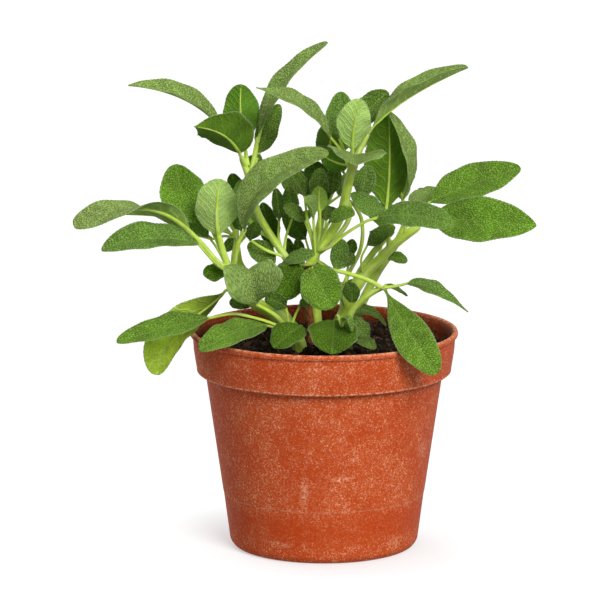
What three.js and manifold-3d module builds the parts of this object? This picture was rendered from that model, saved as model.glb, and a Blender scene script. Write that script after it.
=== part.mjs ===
// Potted sage: a young plant of common sage in a 13 cm moulded pot.
// Millimetres, +Z up. The origin is the centre of the pot's base, on the table.
import * as THREE from "three";
import { mergeVertices } from "three/addons/utils/BufferGeometryUtils.js";
import Module from "manifold-3d";

const wasm = await Module();
wasm.setup();

// ---- Driving dimensions ----
const POT_HEIGHT = 106.4;
const LIP_RADIUS = 65.2;
const LIP_WIDTH = 2.6;
const UNDER_LIP = { radius: 63.9, z: 103.4 };
const COLLAR_TOP = { radius: 63.4, z: 97 };
const COLLAR_BOTTOM = { radius: 61.9, z: 86.6 };
const COLLAR_STEP = { radius: 61.4, z: 86 }; // the outer edge of the collar's flat underside
const BODY_TOP = { radius: 57.8, z: 85.6 };
const BODY_STEP = { radius: 49.3, z: 26, depth: 0.3 };
const BODY_FOOT = { radius: 46, z: 4 };
const WALL = 2;
const FOOT = { pad: 20, inner: 38, outer: 43.5, height: 1.5 }; // the pot stands on a round pad and a ring
const FLOOR_TOP = 3.5;
const DRAIN = { count: 6, radius: 4, circle: 28 };
const POT_SIDES = 36;

const SOIL_LEVEL = 98;
const SOIL_GAP = 0.3; // to the pot, and round each stem
const SOIL_LUMPS = 1.6; // from the mean level to the top of the highest lumps
const STEM_FOOT = 84; // how low the stems reach in their holes

const STEM_SIDES = 6;

const BLADE = 0.9; // thickness of a leaf blade
const RIB = 0.6; // how far the midrib stands out below, at the leaf's base
const TEETH = 0.03; // depth of the waved edge, as a share of the leaf's half width
const LEAF_TIP = 0.5; // half width of a leaf where it ends
const LEAF_STEPS = { short: 4, long: 6, longFrom: 30 }; // rings along a leaf, more from this length on
const STALK_STEPS = { short: 2, long: 3, longFrom: 15 };
const STALK_TAPER = { stem: 0.6, blade: 0.4 }; // a leaf stalk's half width at its two ends, as shares
const SMALL_LEAF = { width: 12, stalk: 0.7 }; // leaves narrower than this have thinner stalks
const LEAF_SHAPE = { fold: 14, roll: 0, twist: 0, ends: [0.85, 0.5], belly: 0.5, stalkWidth: 2 }; // usual

// The viewer stands in front of the plant and looks at it from a little above. The leaves are placed by
// what the viewer sees: [across, up] on the upright plane through the pot's axis, and how deep behind
// that plane the point lies.
const VIEWER = { across: -11.7, distance: 2117, height: 532 };

function seen([across, up, deep]) {
  const nearer = deep / VIEWER.distance;
  return new THREE.Vector3(
    across + (across - VIEWER.across) * nearer,
    deep,
    up - (VIEWER.height - up) * nearer,
  );
}

// ---- Solids ----
function toSolid(geometry) {
  const bare = geometry.clone();
  bare.deleteAttribute("normal");
  bare.deleteAttribute("uv");
  const merged = mergeVertices(bare, 1e-4);
  const vertProperties = Float32Array.from(merged.attributes.position.array);
  const triVerts = Uint32Array.from(merged.index.array);
  return new wasm.Manifold(new wasm.Mesh({ numProp: 3, vertProperties, triVerts }));
}

function toGeometry(solid) {
  const mesh = solid.getMesh();
  const geometry = new THREE.BufferGeometry();
  geometry.setAttribute("position", new THREE.BufferAttribute(mesh.vertProperties, 3));
  geometry.setIndex(new THREE.BufferAttribute(mesh.triVerts, 1));
  geometry.computeVertexNormals();
  return geometry;
}

// A closed body through rings of points, each ring seen counter-clockwise from the end of the row. From
// the column flipFrom on, the squares are split the other way.
function skin(rings, flipFrom = Infinity) {
  const count = rings[0].length;
  const index = [];
  for (let i = 0; i < rings.length - 1; i += 1) {
    for (let j = 0; j < count; j += 1) {
      const a = i * count + j;
      const b = i * count + ((j + 1) % count);
      const c = a + count;
      const d = b + count;
      if (j < flipFrom) {
        index.push(a, b, d, a, d, c);
      } else {
        index.push(a, b, c, b, d, c);
      }
    }
  }
  const last = (rings.length - 1) * count;
  for (let j = 1; j < count - 1; j += 1) {
    index.push(0, j + 1, j);
    index.push(last, last + j, last + j + 1);
  }
  const geometry = new THREE.BufferGeometry().setFromPoints(rings.flat());
  geometry.setIndex(index);
  return geometry;
}

// A round rod along a smooth line through the points, with its two end widths.
function rod(points, widths, sides, steps) {
  const curve = new THREE.CatmullRomCurve3(points, false, "catmullrom");
  const frames = curve.computeFrenetFrames(steps);
  const rings = frames.tangents.map((tangent, i) => {
    const share = i / steps;
    const radius = THREE.MathUtils.lerp(widths[0], widths[1], share) / 2;
    const centre = curve.getPointAt(share);
    return Array.from({ length: sides }, (_, j) => {
      const turn = (2 * Math.PI * j) / sides;
      return centre
        .clone()
        .addScaledVector(frames.normals[i], radius * Math.cos(turn))
        .addScaledVector(frames.binormals[i], radius * Math.sin(turn));
    });
  });
  return skin(rings);
}

// ---- Leaves ----
// The smooth line through a few points at even steps (Lagrange), at a share of its length.
function lineThrough(points, share) {
  const last = points.length - 1;
  const at = new THREE.Vector3();
  points.forEach((point, i) => {
    let weight = 1;
    for (let k = 0; k <= last; k += 1) {
      if (k !== i) {
        weight *= (share * last - k) / (i - k);
      }
    }
    at.addScaledVector(point, weight);
  });
  return at;
}

// A leaf's half width at a share of its midrib, as a share of its greatest, which it has at the belly. It
// is an ellipse where both powers are a half, and more pointed with larger ones.
function outline(share, [basePower, tipPower], belly) {
  const even = share ** (Math.log(0.5) / Math.log(belly));
  return Math.sin(Math.PI * even) ** THREE.MathUtils.lerp(basePower, tipPower, share);
}

// The ring of points round a leaf at one place: its upper side, and its lower side with the rib. across
// and up are the directions of the leaf's width and of its upper side.
function leafRing(centre, across, up, half, lift, rib) {
  const point = (side, above) =>
    centre
      .clone()
      .addScaledVector(across, side * half)
      .addScaledVector(up, Math.abs(side) * lift + above);
  return [
    point(-1, BLADE / 2),
    point(0, BLADE / 2),
    point(1, BLADE / 2),
    point(1, -BLADE / 2),
    point(0, -BLADE / 2 - rib),
    point(-1, -BLADE / 2),
  ];
}

function stepsFor(length, { short, long, longFrom }) {
  return length > longFrom ? long : short;
}

function bladeRings(leaf) {
  const midrib = leaf.midrib.map(seen);
  const steps = stepsFor(midrib[0].distanceTo(midrib.at(-1)), LEAF_STEPS);
  const fold = THREE.MathUtils.degToRad(leaf.fold);
  return Array.from({ length: steps + 1 }, (_, i) => {
    const share = (1 - Math.cos((Math.PI * i) / steps)) / 2;
    const along = lineThrough(midrib, share + 0.01).sub(lineThrough(midrib, share - 0.01)).normalize();
    const turn = THREE.MathUtils.degToRad(leaf.twist * Math.sin((Math.PI / 2) * share) ** 2);
    const faces = new THREE.Vector3(...leaf.faces).applyAxisAngle(along, turn);
    const across = along.clone().cross(faces).normalize();
    const up = across.clone().cross(along);
    const teeth = i % 2 ? 1 + TEETH : 1 - TEETH;
    const narrowest = i ? LEAF_TIP : leaf.stalkWidth * STALK_TAPER.blade;
    const half = Math.max((leaf.width / 2) * outline(share, leaf.ends, leaf.belly) * teeth, narrowest);
    const lift = half * (Math.sin(fold) - leaf.roll);
    const centre = lineThrough(midrib, share);
    const points = leafRing(centre, across, up, half * Math.cos(fold), lift, RIB * (1 - share));
    return { across, points };
  });
}

// The stalk's rings follow from the blade's first one, turned as little as the stalk's line allows.
function stalkRings(leaf, across) {
  const line = new THREE.CatmullRomCurve3([...leaf.stalk, leaf.midrib[0]].map(seen), false, "catmullrom");
  const steps = stepsFor(line.getLength(), STALK_STEPS);
  const stalkWidth = leaf.stalkWidth * (leaf.width < SMALL_LEAF.width ? SMALL_LEAF.stalk : 1);
  const rings = [];
  let side = across;
  for (let i = steps - 1; i >= 0; i -= 1) {
    const along = line.getTangentAt(i / steps);
    side = side.clone().addScaledVector(along, -side.dot(along)).normalize();
    const half = stalkWidth * THREE.MathUtils.lerp(STALK_TAPER.stem, STALK_TAPER.blade, i / steps);
    rings.unshift(leafRing(line.getPointAt(i / steps), side, side.clone().cross(along), half, 0, RIB));
  }
  return rings;
}

function leafSolid(leaf) {
  const blade = bladeRings(leaf);
  return toSolid(skin([...stalkRings(leaf, blade[0].across), ...blade.map((ring) => ring.points)], 3));
}

// A leaf: the points of its midrib from base to tip, its width, the way its upper side faces, the points
// that its stalk comes through from the stem, and what sets it apart: fold and twist in degrees, the roll
// of its edges, the two powers of its outline, where along it is widest and the width of its stalk.
function leaf(midrib, width, faces, stalkPoints, extras = {}) {
  return { midrib, width, faces, stalk: stalkPoints, ...LEAF_SHAPE, ...extras };
}

// ---- Stems and shoots ----
// A stem's points are in millimetres as seen, and the first one stands on the soil: below it the stem
// goes straight down into its hole.
function stemPoints(stem) {
  const points = stem.points.map(seen);
  if (stem.rooted) {
    const foot = points[0].clone().setZ(STEM_FOOT);
    return [foot, ...points];
  }
  return points;
}

function stemSolid(stem) {
  return toSolid(rod(stemPoints(stem), stem.widths, STEM_SIDES, stem.points.length + 2));
}

const WOOD = {
  name: "woody_stem",
  stems: [
    {
      rooted: true, widths: [5, 4.2],
      points: [[-6, 99, 4], [-7.2, 112, 4], [-8.7, 122, 4], [-11, 131, 3]],
    },
    { widths: [4, 3.4], points: [[-10.5, 129, 3], [-13, 134, 3.4], [-16, 138.2, 4]] },
    { widths: [4, 3.6], points: [[-10.8, 129, 3], [-9.3, 133.5, 2], [-7, 138, 1]] },
  ],
  leaves: [],
};

const HIGH_LEFT = {
  name: "high_left_shoot",
  stems: [
    {
      widths: [3.6, 2.8],
      points: [
        [-16.4, 138.8, 4], [-20, 144, 4], [-26, 153, 5], [-31.5, 162.5, 7], [-34.5, 172, 8], [-36.5, 181, 9],
        [-40, 191.5, 9],
      ],
    },
    { widths: [2.6, 2], points: [[-36.5, 181, 9], [-34, 190, 11], [-32, 201, 12]] },
  ],
  leaves: [
    // The five leaves at its top, and the small dark one below them
    leaf([[-50.5, 207, 11], [-69.3, 220.4, 9], [-94.5, 226, 5]], 19, [0.36, -0.28, 0.89],
      [[-40, 191, 9], [-44, 200, 10]], { fold: 24, ends: [0.65, 0.9] }),
    leaf([[-38.5, 198, 14], [-40.3, 212, 17], [-40, 226.7, 18]], 19, [0.1, 0.97, 0.2], [[-37, 187, 9]]),
    leaf([[-40.8, 193, 4], [-49, 202.2, -8], [-62.8, 206, -20]], 28, [0.2, 0.93, 0.31],
      [[-38, 186, 9]], { fold: 22, ends: [0.5, 1.2], belly: 0.44 }),
    leaf([[-31, 203, 12], [-20, 227.2, 14], [1.7, 247, 14]], 15, [-0.66, -0.45, 0.6], [[-32.4, 198, 12]]),
    leaf([[-31.5, 193, 17], [-28.5, 203, 24], [-21.5, 217, 30]], 12, [0.5, -0.6, 0.6], [[-36, 182, 9]]),
    leaf([[-38, 191, 14], [-34, 187.5, 15], [-28.5, 183.5, 16]], 11, [0.3, -0.9, 0.3],
      [[-37.5, 184, 9], [-38.5, 188, 12]]),
    // The small leaves from the left fork
    leaf([[-36, 150.5, 0], [-34.5, 155, -2], [-32.5, 159.5, -3]], 8, [0.3, -0.9, 0.3],
      [[-20, 142.5, 3], [-28, 145.5, 2]]),
    leaf([[-37.5, 162, 13], [-39.5, 171, 16], [-40, 180, 17]], 10, [0, 0.95, 0.3],
      [[-24, 150, 5], [-33, 156, 9]]),
    leaf([[-40, 168, 24], [-42.5, 176, 27], [-45, 183.2, 28]], 9, [0, -0.9, 0.4],
      [[-24, 150, 5], [-34, 158, 16]]),
    leaf([[-21.8, 160, 10], [-22.5, 168, 12], [-23.5, 176, 13]], 7, [0.3, -0.9, 0.3],
      [[-20, 144, 4], [-22, 152, 8]]),
    leaf([[-15.5, 161, 9], [-16, 169, 11], [-17, 177, 12]], 9, [-0.3, -0.9, 0.3],
      [[-19.5, 143.5, 4], [-18.5, 152, 7]]),
  ],
};

const HIGH_CENTRE = {
  name: "high_centre_shoot",
  stems: [
    {
      widths: [4.4, 4.4],
      points: [
        [-6.7, 138.6, 1], [-4, 144, 0.5], [4, 155, 0], [7.5, 161.5, -1], [9.7, 168, -2], [11.5, 178, -3],
        [14.5, 189, -4],
      ],
    },
    { widths: [3.2, 2.6], points: [[12, 180, -3], [16.5, 193, -2], [21, 203, 0]] },
    {
      widths: [2.4, 2.2],
      points: [[-4, 143.5, 1], [0.5, 146.5, 5], [7, 153, 5], [12, 161, 3], [12.5, 170, 0]],
    },
  ],
  leaves: [
    // The leaves at its top
    leaf([[3, 201, -5], [-10, 215.4, -9], [-32.8, 225, -13]], 18.5, [0.5, -0.33, 0.8],
      [[13, 184, -4], [8.5, 194, -4]], { ends: [0.6, 1.3] }),
    leaf([[7.5, 200, 8], [7.8, 211, 12], [8, 223.2, 14]], 15, [0.1, -0.95, 0.3],
      [[13.5, 186, -3], [10, 193, 3]]),
    leaf([[13.5, 194.5, -8], [14.5, 207, -12], [17.5, 219.6, -13]], 17.5, [-0.1, 0.97, 0.2],
      [[13.8, 188, -4]]),
    leaf([[15, 192, -9], [15, 190.2, -23], [15, 187.2, -36]], 30, [0.11, 0.1, 0.98],
      [[14.3, 188, -4]], { fold: 19 }),
    leaf([[24, 206.5, 0], [41.5, 220.8, -2], [69.3, 234.8, -6]], 22, [-0.5, -0.04, 0.87],
      [[20.5, 202, 0]], { fold: 33 }),
    leaf([[16, 204, 10], [22.3, 214.5, 14], [31, 222.8, 15]], 15, [-0.3, -0.9, 0.3],
      [[15, 190, -3], [15.5, 198, 4]]),
    leaf([[11, 187.5, 2], [5, 189, 6], [-1.5, 192.5, 8]], 14, [0.1, 0.9, 0.35], [[13, 184, -3]]),
    leaf([[6, 190, 14], [1, 193.8, 20], [-4.5, 195.8, 25]], 8, [0, -0.3, 1],
      [[12, 180, -2], [8.5, 185, 8]]),
    // The small leaves from the right fork
    leaf([[-5.2, 161.8, -6], [-7.2, 166.3, -10], [-9.4, 169.8, -15]], 13, [0.2, -0.7, 0.7],
      [[-4.2, 145, 0], [-4.8, 154, -3]], { fold: 26 }),
    leaf([[-2, 164, 1], [-2.6, 170, 2], [-2, 177, 3]], 9.5, [0, 0.98, 0.2],
      [[-3.5, 146, 0], [-2, 156, 0.5]]),
    leaf([[-2.5, 169, 9], [-2.6, 177, 12], [-1.5, 186, 13]], 10, [0, -0.95, 0.3],
      [[-4, 146, 1], [-2.6, 160, 6]]),
    leaf([[1, 160, 4], [1, 163.5, 5], [1.8, 167.5, 6]], 5.5, [0, -0.95, 0.3],
      [[-3, 146, 1], [-0.2, 153, 3]]),
    leaf([[2.4, 159.3, -9], [8.5, 163, -13], [14.8, 162.8, -16]], 9, [-0.2, -0.75, 0.6],
      [[-3.5, 145.5, -1], [-0.2, 152.5, -5]]),
    leaf([[-9.5, 160, -2], [-14.5, 164, -5], [-20, 166.3, -7]], 9, [0.1, -0.75, 0.65],
      [[-4.5, 145, 0], [-6.8, 153, -1]]),
    leaf([[-9.5, 172, 14], [-13.5, 179, 18], [-18.5, 185, 20]], 10, [0.3, -0.9, 0.3],
      [[-5, 146, 1], [-8, 160, 8]]),
    leaf([[4, 173, 12], [4.6, 180, 15], [5.5, 187, 16]], 8.5, [0, -0.95, 0.3],
      [[-3.5, 147.5, 1.5], [-3, 157, 11], [1, 166, 13]]),
    leaf([[17, 171, 7], [19.5, 179, 9], [20.5, 187.5, 9]], 11.5, [0.1, -0.95, 0.2],
      [[10, 169, -2], [14, 168, 3]]),
    leaf([[26, 161.5, -12], [43.5, 162.3, -22], [62.4, 157, -30]], 17.5, [0.02, -0.68, 0.73],
      [[-3, 145.5, -1.5], [2.5, 147, -6], [10, 153.3, -8], [20, 159.5, -11]]),
    leaf([[5.4, 135.5, 8], [7.3, 143, 10], [9, 151, 11]], 9.5, [0.1, -0.95, 0.2],
      [[-5.5, 141.5, 2.2], [1, 137, 6]]),
    leaf([[9.5, 137, 17], [12, 140.5, 20], [15, 143, 21]], 7, [0, -0.8, 0.6],
      [[-5.5, 141.5, 2.2], [-1, 139.5, 9], [4, 136.5, 14]]),
    leaf([[-20, 139.5, -7], [-12.5, 141.8, -12], [-4.3, 143.4, -15]], 10, [0.1, -0.65, 0.75],
      [[-6.5, 139.5, -0.5], [-12.5, 137.3, -4]]),
    leaf([[-12.5, 138.5, -12], [-16.5, 131, -15], [-22, 121.5, -16]], 18, [-0.2, -0.9, 0.3],
      [[-6.7, 138.8, -0.7], [-9, 138.3, -6]], { fold: 8 }),
  ],
};

const RIGHT = {
  name: "right_shoot",
  stems: [
    {
      rooted: true,
      widths: [6, 4],
      points: [
        [4.5, 99.5, 8], [8, 111, 9], [14.5, 125, 10], [22, 136, 11],
        [27, 141, 12], [36, 150, 13], [46, 157.5, 14],
      ],
    },
    {
      widths: [3.6, 2.6],
      points: [[9, 113, 10], [16, 132, 14], [24, 144.5, 17], [30, 152, 18], [33, 160, 18]],
    },
    {
      widths: [2, 1.7],
      points: [[8, 111, 9], [10, 129, 22], [17.6, 146, 28], [18.2, 160, 31], [13.5, 169.5, 32]],
    },
  ],
  leaves: [
    leaf([[51, 169, 20], [70, 177, 25], [95, 185.8, 28]], 22.5, [-0.25, -0.7, 0.67],
      [[45, 157, 14], [48, 163.5, 17]]),
    leaf([[53, 161, 8], [75, 160, -2], [102.9, 157.6, -10]], 23.5, [0, -0.9, 0.44],
      [[45, 156.5, 14], [49, 161, 11]], { ends: [0.6, 0.65] }),
    leaf([[30, 166, 16], [31.5, 188, 14], [31, 212, 10]], 25, [-0.2, 0.96, 0.15], [[33, 159, 18]]),
    leaf([[38, 170.5, 14], [40.6, 190, 8], [31, 213, 4]], 16, [0.9, -0.34, 0.1],
      [[39, 152.5, 13], [40, 162, 14]]),
    leaf([[42, 167, 28], [47, 171, 36], [53.5, 175.3, 42]], 11, [0, -0.5, 0.87],
      [[42, 154, 14], [42, 162, 22]]),
    leaf([[21, 148, 8], [27, 152.5, 6], [34.5, 157, 5]], 9.5, [0, -0.75, 0.66],
      [[19, 132.5, 10.5], [18, 141, 9]]),
    leaf([[31, 140.8, 17], [35.5, 141.6, 20], [40.3, 139.8, 22]], 7, [0, -0.8, 0.6],
      [[22.5, 136.5, 11.5], [27, 138.5, 15]]),
    leaf([[29.5, 166, 5], [22, 166.8, 2], [13, 173.5, 0]], 12, [0.1, -0.8, 0.6],
      [[31, 146, 12.5], [31, 157, 9]]),
    leaf([[12.5, 142, 24], [13, 146.5, 27], [14, 151, 28]], 6.5, [0, -0.95, 0.3],
      [[9.5, 114, 10], [10.5, 130, 18]]),
    // The lying leaf at the back of the soil, and the dark one at the stem
    leaf([[14, 113.5, 16], [22, 114.8, 19], [30, 108, 23]], 10, [0, -0.4, 0.9], [[7, 107, 9]]),
    leaf([[10.5, 129.5, -2], [13, 125, -4], [13.5, 119.5, -5]], 9, [0.1, -0.95, 0.2],
      [[10.5, 117, 8.5], [7, 127, 3]]),
  ],
};

const LEFT = {
  name: "left_shoot",
  stems: [
    {
      rooted: true,
      widths: [7, 5.5],
      points: [
        [-12, 98, -7], [-17.5, 109.5, -7], [-26, 114.8, -8], [-34, 120, -9],
        [-40, 127, -9], [-44, 133, -8], [-46.5, 138.5, -7],
      ],
    },
  ],
  leaves: [
    leaf([[-65, 154.5, -10], [-82, 165.2, -15], [-101, 164.8, -18], [-121.6, 157.8, -18]],
      22, [0.1, 0.86, 0.5],
      [[-47, 136, -7], [-52.5, 140, -8], [-58.5, 147.5, -9]],
      { twist: -108, fold: 8, ends: [0.85, 0.4], stalkWidth: 3.2 }),
    leaf([[-61, 148.5, -19], [-84, 151, -29], [-108, 145.2, -36]], 19, [0.05, -0.6, 0.8],
      [[-47, 135, -8], [-53, 139.5, -14]], { fold: 20, ends: [0.65, 0.6] }),
    leaf([[-56, 159, 4], [-67.8, 172, 10], [-71.2, 187.8, 13]], 24, [0.2, -0.92, 0.33],
      [[-47, 137, -6], [-51, 148, -3]]),
    leaf([[-51, 153, -5], [-52, 166, -7], [-50, 180.5, -7]], 22.5, [0, 0.97, 0.2],
      [[-46.5, 137, -7], [-49, 145, -6]], { ends: [0.7, 0.5], stalkWidth: 3 }),
    leaf([[-56, 152, 5], [-61, 156, 10], [-67, 159.5, 13]], 8, [0, -0.8, 0.6],
      [[-47, 137, -6], [-50, 143, 2], [-53, 148, 5]]),
    leaf([[-47.5, 133, -5], [-53, 134.3, -4], [-58.8, 133.6, -4]], 9.5, [0, -0.9, 0.4], [[-44, 132, -7.5]]),
    leaf([[-38.4, 155, -15], [-33.8, 171.4, -20], [-19.4, 184.4, -25], [2.3, 193.2, -28]],
      20.5, [-0.44, -0.7, 0.56],
      [[-44.5, 134, -8], [-43, 141, -11], [-42, 148, -13]],
      { fold: 26 }),
    leaf([[-48, 125.4, -13], [-60.4, 114.6, -21.5], [-74, 102, -25], [-80.5, 83.6, -22]],
      25, [-0.45, 0.78, 0.43],
      [[-38, 124, -9], [-44, 127, -10]],
      { ends: [1, 0.45], belly: 0.6 }),
    leaf([[-24, 138, 2], [-30, 144, 6], [-37, 148.5, 9]], 12, [0.1, -0.85, 0.5],
      [[-38, 124, -8], [-31, 131, -3]]),
    leaf([[-43, 151, 2], [-45.5, 148.5, 3], [-48, 145, 4]], 6, [0, -0.9, 0.4],
      [[-44.5, 134, -7], [-44.5, 142, 0]]),
    leaf([[-40, 155, -1], [-42, 159, 0], [-44, 163, 1]], 5.5, [0, -0.9, 0.4],
      [[-45, 136.5, -7], [-41.5, 147, -4]]),
    leaf([[-34, 118, -3], [-40, 119.5, -1], [-46, 119.5, 1]], 9, [0, -0.8, 0.6], [[-27, 115.5, -7]]),
  ],
};

const LOW_LEFT = {
  name: "low_left_shoot",
  stems: [{ rooted: true, widths: [5, 4], points: [[-13, 97, -17], [-16, 104, -18], [-19, 108, -19]] }],
  leaves: [
    leaf([[-56, 112, -31], [-77, 106.6, -40], [-101, 99.8, -47]], 18, [0, -0.46, 0.88],
      [[-16, 105, -18], [-24, 108.8, -22], [-33, 111.8, -25], [-44, 114, -28]]),
    leaf([[-28, 108.3, -28], [-43, 104, -42], [-60.5, 95.5, -54]], 20, [-0.1, -0.5, 0.86],
      [[-18, 105.5, -18.5]]),
    leaf([[-11, 108, -25], [-17, 103.5, -33], [-24.5, 97, -40]], 17, [-0.1, -0.65, 0.75],
      [[-16, 104.5, -18]]),
    leaf([[-33, 119, -29], [-35.2, 129, -33], [-36.5, 136, -27]], 33, [0, -0.72, 0.7],
      [[-19, 108, -19], [-24, 113.5, -25]], { fold: 32, ends: [0.9, 0.38], belly: 0.58 }),
    leaf([[-18.5, 117, -19], [-23, 120, -21], [-29, 121, -22]], 8.5, [0, -0.9, 0.4],
      [[-17, 106, -18], [-17.5, 112, -18.5]]),
    leaf([[-12, 117.5, -17], [-8.5, 119.8, -18], [-4.2, 118.2, -19]], 5.5, [0, -0.8, 0.6],
      [[-16.5, 105, -18], [-14.5, 112, -17.5]]),
  ],
};

const LOW_FRONT = {
  name: "low_front_shoot",
  stems: [{ rooted: true, widths: [4.5, 3.5], points: [[3, 97, -14], [4, 105, -15], [5, 110, -16]] }],
  leaves: [
    leaf([[5, 110.5, -22], [4.5, 103, -33], [4, 93.8, -42]], 25, [0, -0.62, 0.78],
      [[4.5, 108, -15.5]], { ends: [0.6, 0.5] }),
    leaf([[11, 110, -20], [16, 107.5, -23], [21, 101.5, -28]], 11, [0.1, -0.7, 0.7], [[4.5, 107, -15.5]]),
    leaf([[15, 101.5, -27], [20, 99.7, -33], [25, 96.5, -38]], 8, [0.1, -0.6, 0.8],
      [[4, 102, -14.8], [9, 100.5, -22]]),
    leaf([[8.4, 107.5, -34], [11, 111, -36], [13.2, 105, -37]], 6.5, [0.3, -0.3, 0.9],
      [[5, 109.8, -16], [6.3, 113.2, -22], [7.6, 111, -30]], { fold: 34 }),
  ],
};

const FRONT_RIGHT = {
  name: "front_right_shoot",
  stems: [
    {
      rooted: true, widths: [3.6, 2.6],
      points: [[12, 97, -12], [12.5, 113, -14], [20, 122, -17], [26, 126, -19], [28.5, 127, -20]],
    },
  ],
  leaves: [
    leaf([[29.7, 126, -26], [40, 107, -48], [55, 84, -60]], 19, [0, -0.9, 0.4],
      [[28, 126.8, -20]], { ends: [0.9, 0.5], belly: 0.66 }),
    leaf([[41, 129.3, -20], [55.5, 124.5, -25], [70, 114.8, -27]], 12.5, [0.2, -0.33, 0.9],
      [[28.3, 127, -20], [35, 127.8, -19]], { ends: [0.45, 1.2], belly: 0.34 }),
    leaf([[30, 128.3, -14], [34.5, 126.3, -10], [40.5, 122.8, -7]], 6, [0, -0.4, 0.9], [[28, 126.6, -20]]),
    leaf([[-5.7, 137.2, -23.5], [-1.3, 127.2, -28], [4.8, 117.2, -28]], 20.5, [0, -0.97, 0.2],
      [[28, 126.8, -20], [22.1, 130.3, -21], [12.9, 133.6, -22], [3.5, 135.8, -21.5]],
      { ends: [0.42, 0.55] }),
  ],
};

const BACK_LEFT = {
  name: "back_left_shoot",
  stems: [
    {
      rooted: true, widths: [5, 3],
      points: [
        [-14, 102, 20], [-20, 115, 24], [-31, 128, 30],
        [-40, 137, 34], [-42.3, 146, 37], [-43, 157, 39],
      ],
    },
  ],
  leaves: [
    leaf([[-52, 162, 46], [-61, 171, 60], [-69, 172, 77]], 21, [0, 0.2, 1], [[-42.6, 150, 38]]),
    leaf([[-58, 158, 38], [-76, 162, 44], [-100, 163, 50]], 20, [0, 0.3, 0.95], [[-42.8, 153, 38.5]]),
    leaf([[-47, 160, 46], [-51, 170, 54], [-54, 177, 68]], 20, [0, 0.2, 1], [[-42.8, 154, 38.5]]),
    leaf([[-47, 163, 32], [-52, 171, 28], [-57.5, 176, 22]], 15, [-0.2, 0.9, 0.3], [[-42.9, 155, 38.5]]),
    leaf([[-35, 156, 46], [-33, 162, 58], [-30, 166, 74]], 16, [0, 0.3, 1], [[-42.5, 148, 37.5]]),
    leaf([[-54, 151, 46], [-66, 153.5, 56], [-80, 153.5, 68]], 17, [0, 0.4, 0.9],
      [[-42.6, 151, 38], [-48, 152.5, 42]]),
    leaf([[-34, 131, 42], [-36, 133, 60], [-38, 123, 80]], 19, [0, 0.4, 0.9], [[-28, 125.5, 28.5]]),
    leaf([[-17, 126, 38], [-16, 135, 50], [-16, 139, 67]], 15, [0, 0.4, 0.9], [[-20, 116, 24.5]]),
    leaf([[-25, 147, 26], [-27, 157, 25], [-30, 169, 24]], 11, [0.2, -0.95, 0.3],
      [[-22, 118, 25], [-24, 133, 26]]),
  ],
};

const BACK_CENTRE = {
  name: "back_centre_shoot",
  stems: [
    {
      rooted: true, widths: [5, 3],
      points: [[-3, 102, 26], [-4, 122, 31], [-4, 145, 37], [0, 168, 42], [3, 182, 44]],
    },
  ],
  leaves: [
    leaf([[4, 188, 48], [7, 200, 57], [9, 206, 72]], 20, [0, 0.2, 1], [[3, 181, 44]]),
    leaf([[11, 188, 42], [22, 199, 46], [34, 206, 50]], 18, [-0.3, 0.5, 0.8], [[3, 180, 44]]),
    leaf([[-5, 181, 46], [-17, 183, 55], [-30, 179, 64]], 18, [0, 0.4, 0.9], [[2.5, 179, 43.5]]),
    leaf([[2, 188, 36], [3, 199, 30], [4, 209, 27]], 15, [0, 0.95, 0.3], [[3, 181, 44]]),
    leaf([[-6, 174, 50], [-11, 178, 66], [-15, 172, 85]], 20, [0, 0.3, 1], [[0, 168, 42]]),
    leaf([[7, 172, 50], [15, 180, 62], [22, 184, 77]], 19, [0, 0.3, 1], [[0, 167, 42]]),
    leaf([[-8, 160, 46], [-13, 163.5, 60], [-16, 160, 76]], 15, [0, 0.4, 0.9], [[-4, 146, 37.3]]),
    leaf([[3, 160, 48], [6, 165.5, 62], [7, 164, 80]], 16, [0, 0.4, 0.9], [[-3.5, 150, 38]]),
    leaf([[-5, 124, 44], [-7, 128, 62], [-8, 126, 82]], 16, [0, 0.4, 0.9], [[-4, 118, 30]]),
    leaf([[-9, 151, 33], [-14, 157, 32], [-20, 166, 31]], 11, [0.2, -0.95, 0.3],
      [[-4, 126, 32], [-6, 140, 33]]),
    leaf([[-1, 167, 36], [-3, 178, 32], [-6, 189.5, 30]], 17, [0, -0.95, 0.3], [[-2, 156, 39.5]]),
    leaf([[-15.5, 140, 30], [-17, 146, 31], [-17.5, 151.5, 31]], 6, [0, -0.95, 0.3],
      [[-4, 124, 31], [-10, 133, 30]]),
    leaf([[-10, 140, 28], [-12, 146, 29], [-13, 151.5, 29]], 6, [0, -0.95, 0.3],
      [[-4, 125, 31], [-7, 133, 29]]),
  ],
};

const BACK_RIGHT = {
  name: "back_right_shoot",
  stems: [
    {
      rooted: true, widths: [5, 3],
      points: [[13, 102, 24], [18, 118, 28], [25, 133, 33], [34, 147, 37], [41, 162, 40]],
    },
  ],
  leaves: [
    leaf([[48, 167, 48], [56, 174.5, 62], [63, 172, 79]], 21, [0, 0.2, 1], [[41, 161, 40]]),
    leaf([[54, 162, 42], [69, 165, 50], [84, 162, 60]], 20, [0, 0.35, 0.93], [[40.5, 160, 40]]),
    leaf([[38, 170, 44], [36, 184, 51], [33, 195, 62]], 19, [0, 0.5, 0.86], [[40.5, 160, 40]]),
    leaf([[37.5, 172, 36], [35.5, 184, 30], [34, 197, 26]], 15, [0.2, 0.95, 0.2], [[41, 161, 40]]),
    leaf([[28, 156, 44], [26, 165, 56], [25, 168, 72]], 18, [0, 0.4, 0.9], [[34, 147, 37]]),
    leaf([[49, 158.5, 44], [61, 160, 56], [75, 159, 70]], 16, [0, 0.4, 0.9], [[38, 154.5, 38.6]]),
    leaf([[27.5, 147, 44], [28, 153, 58], [29, 151, 74]], 13, [0, 0.4, 0.9], [[26, 134.5, 33.5]]),
    leaf([[9, 124.5, 42], [8, 129, 58], [7, 127, 76]], 14, [0, 0.4, 0.9], [[18, 118, 28]]),
  ],
};

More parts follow.
